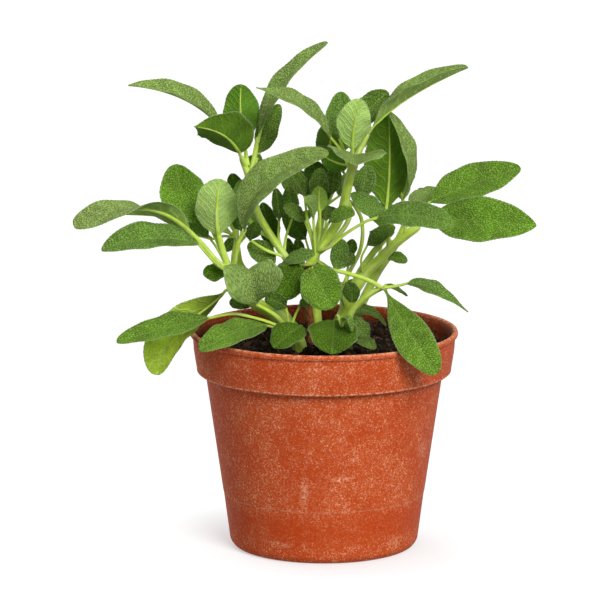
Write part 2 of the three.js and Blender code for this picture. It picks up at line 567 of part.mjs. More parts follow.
const SHOOTS = [
  HIGH_LEFT, HIGH_CENTRE, RIGHT, LEFT, LOW_LEFT, LOW_FRONT, FRONT_RIGHT, BACK_LEFT, BACK_CENTRE, BACK_RIGHT,
];

function shootSolid(shoot) {
  const pieces = [...shoot.stems.map(stemSolid), ...shoot.leaves.map(leafSolid)];
  return pieces.reduce((whole, piece) => whole.add(piece));
}

// ---- Pot ----
function potProfile() {
  const lipHalf = LIP_WIDTH / 2;
  const lip = [-15, 40, 90, 140, 195].map((degrees) => {
    const turn = THREE.MathUtils.degToRad(degrees);
    return [LIP_RADIUS - lipHalf * (1 - Math.cos(turn)), POT_HEIGHT - lipHalf * (1 - Math.sin(turn))];
  });
  const outside = [
    [0, 0],
    [FOOT.pad, 0],
    [FOOT.pad + 1, FOOT.height],
    [FOOT.inner, FOOT.height],
    [FOOT.inner + 1, 0],
    [FOOT.outer, 0],
    [BODY_FOOT.radius - 0.8, 1.4],
    [BODY_FOOT.radius, BODY_FOOT.z],
    [BODY_STEP.radius - BODY_STEP.depth, BODY_STEP.z],
    [BODY_STEP.radius, BODY_STEP.z + 1],
    [BODY_TOP.radius, BODY_TOP.z],
    [COLLAR_STEP.radius, COLLAR_STEP.z],
    [COLLAR_BOTTOM.radius, COLLAR_BOTTOM.z],
    [COLLAR_TOP.radius, COLLAR_TOP.z],
    [UNDER_LIP.radius, UNDER_LIP.z],
  ];
  return [...outside, ...lip, ...potInside()];
}

// The inner wall from the lip down to the middle of the floor.
function potInside() {
  return [
    [COLLAR_TOP.radius - WALL, COLLAR_TOP.z],
    [COLLAR_BOTTOM.radius - WALL, COLLAR_BOTTOM.z + WALL],
    [BODY_TOP.radius - WALL, BODY_TOP.z + WALL],
    [BODY_FOOT.radius - WALL, FLOOR_TOP + 2],
    [BODY_FOOT.radius - WALL - 2, FLOOR_TOP],
    [0, FLOOR_TOP],
  ];
}

// Turns a profile of [radius, height] round the upright axis.
function turned(profile, sides) {
  const points = profile.map(([radius, z]) => new THREE.Vector2(radius, z));
  return new THREE.LatheGeometry(points, sides).rotateX(Math.PI / 2);
}

function potSolid() {
  let pot = toSolid(turned(potProfile(), POT_SIDES));
  for (let i = 0; i < DRAIN.count; i += 1) {
    const turn = (2 * Math.PI * (i + 0.5)) / DRAIN.count;
    const hole = new THREE.CylinderGeometry(DRAIN.radius, DRAIN.radius, 2 * FLOOR_TOP, 16);
    hole.rotateX(Math.PI / 2);
    hole.translate(DRAIN.circle * Math.cos(turn), DRAIN.circle * Math.sin(turn), FLOOR_TOP);
    pot = pot.subtract(toSolid(hole));
  }
  return pot;
}

// ---- Soil ----
// The soil's lumps, from -1 to 1, as sums of waves that run in three directions.
function lumps(x, y) {
  const coarse = Math.sin(0.31 * x + 0.12 * y) + Math.sin(0.35 * y - 0.14 * x + 1.3);
  const fine = Math.sin(0.62 * x - 0.55 * y + 0.7) + Math.sin(0.71 * y + 0.48 * x + 2.1);
  return (coarse + 0.7 * fine) / 3.4;
}

function soilGeometry() {
  const flats = Math.cos(Math.PI / POT_SIDES); // the pot's wall comes this much closer between its corners
  const inner = (radius) => Math.max(radius * flats - SOIL_GAP, 0);
  const sides = potInside().reverse().slice(0, -1).map(([radius, z]) => [inner(radius), z + SOIL_GAP]);
  const radius = inner(COLLAR_TOP.radius - WALL);
  const rim = [[radius, SOIL_LEVEL - SOIL_LUMPS]];
  const top = [0.84, 0.64, 0.44, 0.22, 0].map((part) => [part * radius, SOIL_LEVEL]);
  const geometry = turned([...sides, ...rim, ...top], 24);
  const place = geometry.attributes.position;
  for (let i = 0; i < place.count; i += 1) {
    if (place.getZ(i) > SOIL_LEVEL - 0.01) {
      place.setZ(i, SOIL_LEVEL + SOIL_LUMPS * lumps(place.getX(i), place.getY(i)));
    }
  }
  return geometry;
}

function stemHole(stem) {
  const points = stemPoints(stem);
  points[0].z -= SOIL_GAP;
  const widths = stem.widths.map((width) => width + 2 * SOIL_GAP);
  return toSolid(rod(points, widths, STEM_SIDES, stem.points.length + 2));
}

function soilSolid() {
  const rooted = [WOOD, ...SHOOTS].flatMap((shoot) => shoot.stems).filter((stem) => stem.rooted);
  return rooted.map(stemHole).reduce((soil, hole) => soil.subtract(hole), toSolid(soilGeometry()));
}

// ---- Materials and the whole ----
const plastic = new THREE.MeshStandardMaterial({ color: "#b85a3a", roughness: 0.6, metalness: 0 });
const earth = new THREE.MeshStandardMaterial({ color: "#2a1e18", roughness: 1, metalness: 0 });
const bark = new THREE.MeshStandardMaterial({ color: "#a5683c", roughness: 0.9, metalness: 0 });
const felt = new THREE.MeshStandardMaterial({ color: "#5f8a45", roughness: 0.85, metalness: 0 });

function piece(name, solid, material) {
  const mesh = new THREE.Mesh(toGeometry(solid), material);
  mesh.name = name;
  return mesh;
}

const sage = new THREE.Group();
sage.add(piece("pot", potSolid(), plastic));
sage.add(piece("soil", soilSolid(), earth));
sage.add(piece(WOOD.name, shootSolid(WOOD), bark));
SHOOTS.forEach((shoot) => sage.add(piece(shoot.name, shootSolid(shoot), felt)));

export default sage;
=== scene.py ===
"""Potted sage: a young plant of common sage with felted leaves, rooted in dark potting mix in a
weathered 13 cm pot of terracotta-coloured plastic. Tables and shapes are in millimetres with +Z up and
the origin under the middle of the pot; the pieces are made in metres."""

import math
from typing import NamedTuple

import bpy
import numpy as np
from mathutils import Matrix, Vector


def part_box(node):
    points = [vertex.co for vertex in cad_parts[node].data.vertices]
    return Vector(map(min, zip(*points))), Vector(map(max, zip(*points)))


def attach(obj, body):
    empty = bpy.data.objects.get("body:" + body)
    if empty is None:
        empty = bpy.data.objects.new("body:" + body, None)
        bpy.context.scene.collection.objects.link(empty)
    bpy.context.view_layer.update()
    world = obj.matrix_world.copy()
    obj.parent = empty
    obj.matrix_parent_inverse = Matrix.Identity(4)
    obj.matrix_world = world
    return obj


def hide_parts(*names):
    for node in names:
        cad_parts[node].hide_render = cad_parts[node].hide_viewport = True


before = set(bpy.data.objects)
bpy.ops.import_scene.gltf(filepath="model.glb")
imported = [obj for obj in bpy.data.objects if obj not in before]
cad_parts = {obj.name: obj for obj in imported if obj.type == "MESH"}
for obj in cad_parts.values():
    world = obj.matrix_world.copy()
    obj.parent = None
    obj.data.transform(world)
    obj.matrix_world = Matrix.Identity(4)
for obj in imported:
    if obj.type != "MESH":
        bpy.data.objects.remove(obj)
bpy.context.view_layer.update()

bl_info = {
    "name": "Potted sage",
    "version": (1, 0, 0),
    "blender": (4, 5, 0),
    "location": "3D View > Sidebar > Potted sage",
    "description": "Makes a potted sage: leaves, stems, hairs, soil and pot, on a pale stage",
    "category": "Add Mesh",
}

MM = 0.001
POT_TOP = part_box("pot")[1].z
LIP_RADIUS = 65.2  # of the pot's lip, as its profile is drawn
LIP_TOP = 106.4  # height of the lip, as its profile is drawn

# The viewer of the photo: how far to the side, how far away and how high, and the lens and the width of its
# picture, all in millimetres, and how many degrees below level the lens points.
VIEWER = {"across": -11.7, "distance": 2117, "height": 532, "lens": 266.2, "picture": 36, "down": 10.99}

# ---- The plant, as the viewer sees it ----


class Stem(NamedTuple):
    """A stem: points as the viewer sees them, its width at both ends, and whether it stands in the soil."""

    points: list
    widths: tuple
    rooted: bool = False


class Leaf(NamedTuple):
    """A leaf: the points of its midrib from base to tip, its width, the way its upper side faces, the
    points that its stalk comes through, its look, and what sets its form apart: fold and twist in
    degrees, the roll of its edges, the two powers of its outline, where along it is widest, as a share,
    and the width of its stalk."""

    midrib: list
    width: float
    faces: tuple
    stalk: list
    look: str
    fold: float = 14
    roll: float = 0
    twist: float = 0
    ends: tuple = (0.85, 0.5)
    belly: float = 0.5
    stalk_width: float = 2


STEM_FOOT = 84  # how low the stems reach in the soil

WOOD = [
    Stem([(-6, 99, 4), (-7.2, 112, 4), (-8.7, 122, 4), (-11, 131, 3)], (5, 4.2), rooted=True),
    Stem([(-10.5, 129, 3), (-13, 134, 3.4), (-16, 138.2, 4)], (4, 3.4)),
    Stem([(-10.8, 129, 3), (-9.3, 133.5, 2), (-7, 138, 1)], (4, 3.6)),
]

SHOOTS = {
    "high_left_shoot": (
        [
            Stem([(-16.4, 138.8, 4), (-20, 144, 4), (-26, 153, 5), (-31.5, 162.5, 7), (-34.5, 172, 8),
                 (-36.5, 181, 9), (-40, 191.5, 9)], (3.6, 2.8)),
            Stem([(-36.5, 181, 9), (-34, 190, 11), (-32, 201, 12)], (2.6, 2)),
        ],
        [
            Leaf([(-50.5, 207, 11), (-69.3, 220.4, 9), (-94.5, 226, 5)], 19, (0.36, -0.28, 0.89),
                 [(-40, 191, 9), (-44, 200, 10)], "felted", fold=24, ends=(0.65, 0.9)),
            Leaf([(-38.5, 198, 14), (-40.3, 212, 17), (-40, 226.7, 18)], 19, (0.1, 0.97, 0.2),
                 [(-37, 187, 9)], "lush"),
            Leaf([(-40.8, 193, 4), (-49, 202.2, -8), (-62.8, 206, -20)], 28, (0.2, 0.93, 0.31),
                 [(-38, 186, 9)], "deep", fold=22, ends=(0.5, 1.2), belly=0.44),
            Leaf([(-31, 203, 12), (-20, 227.2, 14), (1.7, 247, 14)], 15, (-0.66, -0.45, 0.6),
                 [(-32.4, 198, 12)], "felted"),
            Leaf([(-31.5, 193, 17), (-28.5, 203, 24), (-21.5, 217, 30)], 12, (0.5, -0.6, 0.6),
                 [(-36, 182, 9)], "dull"),
            Leaf([(-38, 191, 14), (-34, 187.5, 15), (-28.5, 183.5, 16)], 11, (0.3, -0.9, 0.3),
                 [(-37.5, 184, 9), (-38.5, 188, 12)], "dull"),
            Leaf([(-36, 150.5, 0), (-34.5, 155, -2), (-32.5, 159.5, -3)], 8, (0.3, -0.9, 0.3),
                 [(-20, 142.5, 3), (-28, 145.5, 2)], "dark"),
            Leaf([(-37.5, 162, 13), (-39.5, 171, 16), (-40, 180, 17)], 10, (0, 0.95, 0.3),
                 [(-24, 150, 5), (-33, 156, 9)], "dark"),
            Leaf([(-40, 168, 24), (-42.5, 176, 27), (-45, 183.2, 28)], 9, (0, -0.9, 0.4),
                 [(-24, 150, 5), (-34, 158, 16)], "dark"),
            Leaf([(-21.8, 160, 10), (-22.5, 168, 12), (-23.5, 176, 13)], 7, (0.3, -0.9, 0.3),
                 [(-20, 144, 4), (-22, 152, 8)], "dark"),
            Leaf([(-15.5, 161, 9), (-16, 169, 11), (-17, 177, 12)], 9, (-0.3, -0.9, 0.3),
                 [(-19.5, 143.5, 4), (-18.5, 152, 7)], "dark"),
        ],
    ),
    "high_centre_shoot": (
        [
            Stem([(-6.7, 138.6, 1), (-4, 144, 0.5), (4, 155, 0), (7.5, 161.5, -1), (9.7, 168, -2),
                 (11.5, 178, -3), (14.5, 189, -4)], (4.4, 4.4)),
            Stem([(12, 180, -3), (16.5, 193, -2), (21, 203, 0)], (3.2, 2.6)),
            Stem([(-4, 143.5, 1), (0.5, 146.5, 5), (7, 153, 5), (12, 161, 3), (12.5, 170, 0)], (2.4, 2.2)),
        ],
        [
            Leaf([(3, 201, -5), (-10, 215.4, -9), (-32.8, 225, -13)], 18.5, (0.5, -0.33, 0.8),
                 [(13, 184, -4), (8.5, 194, -4)], "felted", ends=(0.6, 1.3)),
            Leaf([(7.5, 200, 8), (7.8, 211, 12), (8, 223.2, 14)], 15, (0.1, -0.95, 0.3),
                 [(13.5, 186, -3), (10, 193, 3)], "cool"),
            Leaf([(13.5, 194.5, -8), (14.5, 207, -12), (17.5, 219.6, -13)], 17.5, (-0.1, 0.97, 0.2),
                 [(13.8, 188, -4)], "pale"),
            Leaf([(15, 192, -9), (15, 190.2, -23), (15, 187.2, -36)], 30, (0.11, 0.1, 0.98),
                 [(14.3, 188, -4)], "felted", fold=19),
            Leaf([(24, 206.5, 0), (41.5, 220.8, -2), (69.3, 234.8, -6)], 22, (-0.5, -0.04, 0.87),
                 [(20.5, 202, 0)], "felted", fold=33),
            Leaf([(16, 204, 10), (22.3, 214.5, 14), (31, 222.8, 15)], 15, (-0.3, -0.9, 0.3),
                 [(15, 190, -3), (15.5, 198, 4)], "dull"),
            Leaf([(11, 187.5, 2), (5, 189, 6), (-1.5, 192.5, 8)], 14, (0.1, 0.9, 0.35), [(13, 184, -3)],
                 "lush"),
            Leaf([(6, 190, 14), (1, 193.8, 20), (-4.5, 195.8, 25)], 8, (0, -0.3, 1),
                 [(12, 180, -2), (8.5, 185, 8)], "dull"),
            Leaf([(-5.2, 161.8, -6), (-7.2, 166.3, -10), (-9.4, 169.8, -15)], 13, (0.2, -0.7, 0.7),
                 [(-4.2, 145, 0), (-4.8, 154, -3)], "felted", fold=26),
            Leaf([(-2, 164, 1), (-2.6, 170, 2), (-2, 177, 3)], 9.5, (0, 0.98, 0.2),
                 [(-3.5, 146, 0), (-2, 156, 0.5)], "fresh"),
            Leaf([(-2.5, 169, 9), (-2.6, 177, 12), (-1.5, 186, 13)], 10, (0, -0.95, 0.3),
                 [(-4, 146, 1), (-2.6, 160, 6)], "dull"),
            Leaf([(1, 160, 4), (1, 163.5, 5), (1.8, 167.5, 6)], 5.5, (0, -0.95, 0.3),
                 [(-3, 146, 1), (-0.2, 153, 3)], "dull"),
            Leaf([(2.4, 159.3, -9), (8.5, 163, -13), (14.8, 162.8, -16)], 9, (-0.2, -0.75, 0.6),
                 [(-3.5, 145.5, -1), (-0.2, 152.5, -5)], "fresh"),
            Leaf([(-9.5, 160, -2), (-14.5, 164, -5), (-20, 166.3, -7)], 9, (0.1, -0.75, 0.65),
                 [(-4.5, 145, 0), (-6.8, 153, -1)], "dull"),
            Leaf([(-9.5, 172, 14), (-13.5, 179, 18), (-18.5, 185, 20)], 10, (0.3, -0.9, 0.3),
                 [(-5, 146, 1), (-8, 160, 8)], "dull"),
            Leaf([(4, 173, 12), (4.6, 180, 15), (5.5, 187, 16)], 8.5, (0, -0.95, 0.3),
                 [(-3.5, 147.5, 1.5), (-3, 157, 11), (1, 166, 13)], "dull"),
            Leaf([(17, 171, 7), (19.5, 179, 9), (20.5, 187.5, 9)], 11.5, (0.1, -0.95, 0.2),
                 [(10, 169, -2), (14, 168, 3)], "cool"),
            Leaf([(26, 161.5, -12), (43.5, 162.3, -22), (62.4, 157, -30)], 17.5, (0.02, -0.68, 0.73),
                 [(-3, 145.5, -1.5), (2.5, 147, -6), (10, 153.3, -8), (20, 159.5, -11)], "cool"),
            Leaf([(5.4, 135.5, 8), (7.3, 143, 10), (9, 151, 11)], 9.5, (0.1, -0.95, 0.2),
                 [(-5.5, 141.5, 2.2), (1, 137, 6)], "cool"),
            Leaf([(9.5, 137, 17), (12, 140.5, 20), (15, 143, 21)], 7, (0, -0.8, 0.6),
                 [(-5.5, 141.5, 2.2), (-1, 139.5, 9), (4, 136.5, 14)], "dull"),
            Leaf([(-20, 139.5, -7), (-12.5, 141.8, -12), (-4.3, 143.4, -15)], 10, (0.1, -0.65, 0.75),
                 [(-6.5, 139.5, -0.5), (-12.5, 137.3, -4)], "cool"),
            Leaf([(-12.5, 138.5, -12), (-16.5, 131, -15), (-22, 121.5, -16)], 18, (-0.2, -0.9, 0.3),
                 [(-6.7, 138.8, -0.7), (-9, 138.3, -6)], "lush", fold=8),
        ],
    ),
    "right_shoot": (
        [
            Stem([(4.5, 99.5, 8), (8, 111, 9), (14.5, 125, 10), (22, 136, 11), (27, 141, 12),
                 (36, 150, 13), (46, 157.5, 14)], (6, 4), rooted=True),
            Stem([(9, 113, 10), (16, 132, 14), (24, 144.5, 17), (30, 152, 18), (33, 160, 18)], (3.6, 2.6)),
            Stem([(8, 111, 9), (10, 129, 22), (17.6, 146, 28), (18.2, 160, 31), (13.5, 169.5, 32)],
                 (2, 1.7)),
        ],
        [
            Leaf([(51, 169, 20), (70, 177, 25), (95, 185.8, 28)], 22.5, (-0.25, -0.7, 0.67),
                 [(45, 157, 14), (48, 163.5, 17)], "fresh"),
            Leaf([(53, 161, 8), (75, 160, -2), (102.9, 157.6, -10)], 23.5, (0, -0.9, 0.44),
                 [(45, 156.5, 14), (49, 161, 11)], "fresh", ends=(0.6, 0.65)),
            Leaf([(30, 166, 16), (31.5, 188, 14), (31, 212, 10)], 25, (-0.2, 0.96, 0.15), [(33, 159, 18)],
                 "deep"),
            Leaf([(38, 170.5, 14), (40.6, 190, 8), (31, 213, 4)], 16, (0.9, -0.34, 0.1),
                 [(39, 152.5, 13), (40, 162, 14)], "felted"),
            Leaf([(42, 167, 28), (47, 171, 36), (53.5, 175.3, 42)], 11, (0, -0.5, 0.87),
                 [(42, 154, 14), (42, 162, 22)], "felted"),
            Leaf([(21, 148, 8), (27, 152.5, 6), (34.5, 157, 5)], 9.5, (0, -0.75, 0.66),
                 [(19, 132.5, 10.5), (18, 141, 9)], "dull"),
            Leaf([(31, 140.8, 17), (35.5, 141.6, 20), (40.3, 139.8, 22)], 7, (0, -0.8, 0.6),
                 [(22.5, 136.5, 11.5), (27, 138.5, 15)], "fresh"),
            Leaf([(29.5, 166, 5), (22, 166.8, 2), (13, 173.5, 0)], 12, (0.1, -0.8, 0.6),
                 [(31, 146, 12.5), (31, 157, 9)], "cool"),
            Leaf([(12.5, 142, 24), (13, 146.5, 27), (14, 151, 28)], 6.5, (0, -0.95, 0.3),
                 [(9.5, 114, 10), (10.5, 130, 18)], "dark"),
            Leaf([(14, 113.5, 16), (22, 114.8, 19), (30, 108, 23)], 10, (0, -0.4, 0.9), [(7, 107, 9)],
                 "dull"),
            Leaf([(10.5, 129.5, -2), (13, 125, -4), (13.5, 119.5, -5)], 9, (0.1, -0.95, 0.2),
                 [(10.5, 117, 8.5), (7, 127, 3)], "dark"),
        ],
    ),
    "left_shoot": (
        [
            Stem([(-12, 98, -7), (-17.5, 109.5, -7), (-26, 114.8, -8), (-34, 120, -9), (-40, 127, -9),
                 (-44, 133, -8), (-46.5, 138.5, -7)], (7, 5.5), rooted=True),
        ],
        [
            Leaf([(-65, 154.5, -10), (-82, 165.2, -15), (-101, 164.8, -18), (-121.6, 157.8, -18)], 22,
                 (0.1, 0.86, 0.5), [(-47, 136, -7), (-52.5, 140, -8), (-58.5, 147.5, -9)], "turned",
                 fold=8, twist=-108, ends=(0.85, 0.4), stalk_width=3.2),
            Leaf([(-61, 148.5, -19), (-84, 151, -29), (-108, 145.2, -36)], 19, (0.05, -0.6, 0.8),
                 [(-47, 135, -8), (-53, 139.5, -14)], "cool", fold=20, ends=(0.65, 0.6)),
            Leaf([(-56, 159, 4), (-67.8, 172, 10), (-71.2, 187.8, 13)], 24, (0.2, -0.92, 0.33),
                 [(-47, 137, -6), (-51, 148, -3)], "fresh"),
            Leaf([(-51, 153, -5), (-52, 166, -7), (-50, 180.5, -7)], 22.5, (0, 0.97, 0.2),
                 [(-46.5, 137, -7), (-49, 145, -6)], "pale", ends=(0.7, 0.5), stalk_width=3),
            Leaf([(-56, 152, 5), (-61, 156, 10), (-67, 159.5, 13)], 8, (0, -0.8, 0.6),
                 [(-47, 137, -6), (-50, 143, 2), (-53, 148, 5)], "cool"),
            Leaf([(-47.5, 133, -5), (-53, 134.3, -4), (-58.8, 133.6, -4)], 9.5, (0, -0.9, 0.4),
                 [(-44, 132, -7.5)], "lush"),
            Leaf([(-38.4, 155, -15), (-33.8, 171.4, -20), (-19.4, 184.4, -25), (2.3, 193.2, -28)], 20.5,
                 (-0.44, -0.7, 0.56), [(-44.5, 134, -8), (-43, 141, -11), (-42, 148, -13)], "felted",
                 fold=26),
            Leaf([(-48, 125.4, -13), (-60.4, 114.6, -21.5), (-74, 102, -25), (-80.5, 83.6, -22)], 25,
                 (-0.45, 0.78, 0.43), [(-38, 124, -9), (-44, 127, -10)], "painted_glow_and_shade", ends=(1.0, 0.45),
                 belly=0.6),
            Leaf([(-24, 138, 2), (-30, 144, 6), (-37, 148.5, 9)], 12, (0.1, -0.85, 0.5),
                 [(-38, 124, -8), (-31, 131, -3)], "dull"),
            Leaf([(-43, 151, 2), (-45.5, 148.5, 3), (-48, 145, 4)], 6, (0, -0.9, 0.4),
                 [(-44.5, 134, -7), (-44.5, 142, 0)], "dark"),
            Leaf([(-40, 155, -1), (-42, 159, 0), (-44, 163, 1)], 5.5, (0, -0.9, 0.4),
                 [(-45, 136.5, -7), (-41.5, 147, -4)], "dark"),
            Leaf([(-34, 118, -3), (-40, 119.5, -1), (-46, 119.5, 1)], 9, (0, -0.8, 0.6),
                 [(-27, 115.5, -7)], "dull"),
        ],
    ),
    "low_left_shoot": (
        [
            Stem([(-13, 97, -17), (-16, 104, -18), (-19, 108, -19)], (5, 4), rooted=True),
        ],
        [
            Leaf([(-56, 112, -31), (-77, 106.6, -40), (-101, 99.8, -47)], 18, (0, -0.46, 0.88),
                 [(-16, 105, -18), (-24, 108.8, -22), (-33, 111.8, -25), (-44, 114, -28)], "fresh"),
            Leaf([(-28, 108.3, -28), (-43, 104, -42), (-60.5, 95.5, -54)], 20, (-0.1, -0.5, 0.86),
                 [(-18, 105.5, -18.5)], "fresh"),
            Leaf([(-11, 108, -25), (-17, 103.5, -33), (-24.5, 97, -40)], 17, (-0.1, -0.65, 0.75),
                 [(-16, 104.5, -18)], "lush"),
            Leaf([(-33, 119, -29), (-35.2, 129, -33), (-36.5, 136, -27)], 33, (0, -0.72, 0.7),
                 [(-19, 108, -19), (-24, 113.5, -25)], "felted", fold=32, ends=(0.9, 0.38), belly=0.58),
            Leaf([(-18.5, 117, -19), (-23, 120, -21), (-29, 121, -22)], 8.5, (0, -0.9, 0.4),
                 [(-17, 106, -18), (-17.5, 112, -18.5)], "dark"),
            Leaf([(-12, 117.5, -17), (-8.5, 119.8, -18), (-4.2, 118.2, -19)], 5.5, (0, -0.8, 0.6),
                 [(-16.5, 105, -18), (-14.5, 112, -17.5)], "cool"),
        ],
    ),
    "low_front_shoot": (
        [
            Stem([(3, 97, -14), (4, 105, -15), (5, 110, -16)], (4.5, 3.5), rooted=True),
        ],
        [
            Leaf([(5, 110.5, -22), (4.5, 103, -33), (4, 93.8, -42)], 25, (0, -0.62, 0.78),
                 [(4.5, 108, -15.5)], "lush", ends=(0.6, 0.5)),
            Leaf([(11, 110, -20), (16, 107.5, -23), (21, 101.5, -28)], 11, (0.1, -0.7, 0.7),
                 [(4.5, 107, -15.5)], "dull"),
            Leaf([(15, 101.5, -27), (20, 99.7, -33), (25, 96.5, -38)], 8, (0.1, -0.6, 0.8),
                 [(4, 102, -14.8), (9, 100.5, -22)], "dull"),
            Leaf([(8.4, 107.5, -34), (11, 111, -36), (13.2, 105, -37)], 6.5, (0.3, -0.3, 0.9),
                 [(5, 109.8, -16), (6.3, 113.2, -22), (7.6, 111, -30)], "cool", fold=34),
        ],
    ),
    "front_right_shoot": (
        [
            Stem([(12, 97, -12), (12.5, 113, -14), (20, 122, -17), (26, 126, -19), (28.5, 127, -20)],
                 (3.6, 2.6), rooted=True),
        ],
        [
            Leaf([(29.7, 126, -26), (40, 107, -48), (55, 84, -60)], 19, (0, -0.9, 0.4),
                 [(28, 126.8, -20)], "fresh", ends=(0.9, 0.5), belly=0.66),
            Leaf([(41, 129.3, -20), (55.5, 124.5, -25), (70, 114.8, -27)], 12.5, (0.2, -0.33, 0.9),
                 [(28.3, 127, -20), (35, 127.8, -19)], "cool", ends=(0.45, 1.2), belly=0.34),
            Leaf([(30, 128.3, -14), (34.5, 126.3, -10), (40.5, 122.8, -7)], 6, (0, -0.4, 0.9),
                 [(28, 126.6, -20)], "dull"),
            Leaf([(-5.7, 137.2, -23.5), (-1.3, 127.2, -28), (4.8, 117.2, -28)], 20.5, (0, -0.97, 0.2),
                 [(28, 126.8, -20), (22.1, 130.3, -21), (12.9, 133.6, -22), (3.5, 135.8, -21.5)], "fresh",
                 ends=(0.42, 0.55)),
        ],
    ),
    "back_left_shoot": (
        [
            Stem([(-14, 102, 20), (-20, 115, 24), (-31, 128, 30), (-40, 137, 34), (-42.3, 146, 37),
                 (-43, 157, 39)], (5, 3), rooted=True),
        ],
        [
            Leaf([(-52, 162, 46), (-61, 171, 60), (-69, 172, 77)], 21, (0, 0.2, 1), [(-42.6, 150, 38)],
                 "fresh"),
            Leaf([(-58, 158, 38), (-76, 162, 44), (-100, 163, 50)], 20, (0, 0.3, 0.95),
                 [(-42.8, 153, 38.5)], "fresh"),
            Leaf([(-47, 160, 46), (-51, 170, 54), (-54, 177, 68)], 20, (0, 0.2, 1), [(-42.8, 154, 38.5)],
                 "cool"),
            Leaf([(-47, 163, 32), (-52, 171, 28), (-57.5, 176, 22)], 15, (-0.2, 0.9, 0.3),
                 [(-42.9, 155, 38.5)], "dark"),
            Leaf([(-35, 156, 46), (-33, 162, 58), (-30, 166, 74)], 16, (0, 0.3, 1), [(-42.5, 148, 37.5)],
                 "fresh"),
            Leaf([(-54, 151, 46), (-66, 153.5, 56), (-80, 153.5, 68)], 17, (0, 0.4, 0.9),
                 [(-42.6, 151, 38), (-48, 152.5, 42)], "cool"),
            Leaf([(-34, 131, 42), (-36, 133, 60), (-38, 123, 80)], 19, (0, 0.4, 0.9),
                 [(-28, 125.5, 28.5)], "fresh"),
            Leaf([(-17, 126, 38), (-16, 135, 50), (-16, 139, 67)], 15, (0, 0.4, 0.9), [(-20, 116, 24.5)],
                 "cool"),
            Leaf([(-25, 147, 26), (-27, 157, 25), (-30, 169, 24)], 11, (0.2, -0.95, 0.3),
                 [(-22, 118, 25), (-24, 133, 26)], "dark"),
        ],
    ),
    "back_centre_shoot": (
        [
            Stem([(-3, 102, 26), (-4, 122, 31), (-4, 145, 37), (0, 168, 42), (3, 182, 44)], (5, 3),
                 rooted=True),
        ],
        [
            Leaf([(4, 188, 48), (7, 200, 57), (9, 206, 72)], 20, (0, 0.2, 1), [(3, 181, 44)], "fresh"),
            Leaf([(11, 188, 42), (22, 199, 46), (34, 206, 50)], 18, (-0.3, 0.5, 0.8), [(3, 180, 44)],
                 "cool"),
            Leaf([(-5, 181, 46), (-17, 183, 55), (-30, 179, 64)], 18, (0, 0.4, 0.9), [(2.5, 179, 43.5)],
                 "fresh"),
            Leaf([(2, 188, 36), (3, 199, 30), (4, 209, 27)], 15, (0, 0.95, 0.3), [(3, 181, 44)], "dark"),
            Leaf([(-6, 174, 50), (-11, 178, 66), (-15, 172, 85)], 20, (0, 0.3, 1), [(0, 168, 42)], "fresh"),
            Leaf([(7, 172, 50), (15, 180, 62), (22, 184, 77)], 19, (0, 0.3, 1), [(0, 167, 42)], "cool"),
            Leaf([(-8, 160, 46), (-13, 163.5, 60), (-16, 160, 76)], 15, (0, 0.4, 0.9), [(-4, 146, 37.3)],
                 "fresh"),
            Leaf([(3, 160, 48), (6, 165.5, 62), (7, 164, 80)], 16, (0, 0.4, 0.9), [(-3.5, 150, 38)],
                 "cool"),
            Leaf([(-5, 124, 44), (-7, 128, 62), (-8, 126, 82)], 16, (0, 0.4, 0.9), [(-4, 118, 30)],
                 "fresh"),
            Leaf([(-9, 151, 33), (-14, 157, 32), (-20, 166, 31)], 11, (0.2, -0.95, 0.3),
                 [(-4, 126, 32), (-6, 140, 33)], "dark"),
            Leaf([(-1, 167, 36), (-3, 178, 32), (-6, 189.5, 30)], 17, (0, -0.95, 0.3), [(-2, 156, 39.5)],
                 "dark"),
            Leaf([(-15.5, 140, 30), (-17, 146, 31), (-17.5, 151.5, 31)], 6, (0, -0.95, 0.3),
                 [(-4, 124, 31), (-10, 133, 30)], "dark"),
            Leaf([(-10, 140, 28), (-12, 146, 29), (-13, 151.5, 29)], 6, (0, -0.95, 0.3),
                 [(-4, 125, 31), (-7, 133, 29)], "dark"),
        ],
    ),
    "back_right_shoot": (
        [
            Stem([(13, 102, 24), (18, 118, 28), (25, 133, 33), (34, 147, 37), (41, 162, 40)], (5, 3),
                 rooted=True),
        ],
        [
            Leaf([(48, 167, 48), (56, 174.5, 62), (63, 172, 79)], 21, (0, 0.2, 1), [(41, 161, 40)],
                 "fresh"),
            Leaf([(54, 162, 42), (69, 165, 50), (84, 162, 60)], 20, (0, 0.35, 0.93), [(40.5, 160, 40)],
                 "cool"),
            Leaf([(38, 170, 44), (36, 184, 51), (33, 195, 62)], 19, (0, 0.5, 0.86), [(40.5, 160, 40)],
                 "fresh"),
            Leaf([(37.5, 172, 36), (35.5, 184, 30), (34, 197, 26)], 15, (0.2, 0.95, 0.2), [(41, 161, 40)],
                 "dark"),
            Leaf([(28, 156, 44), (26, 165, 56), (25, 168, 72)], 18, (0, 0.4, 0.9), [(34, 147, 37)],
                 "fresh"),
            Leaf([(49, 158.5, 44), (61, 160, 56), (75, 159, 70)], 16, (0, 0.4, 0.9), [(38, 154.5, 38.6)],
                 "cool"),
            Leaf([(27.5, 147, 44), (28, 153, 58), (29, 151, 74)], 13, (0, 0.4, 0.9), [(26, 134.5, 33.5)],
                 "fresh"),
            Leaf([(9, 124.5, 42), (8, 129, 58), (7, 127, 76)], 14, (0, 0.4, 0.9), [(18, 118, 28)], "cool"),
        ],
    ),
}
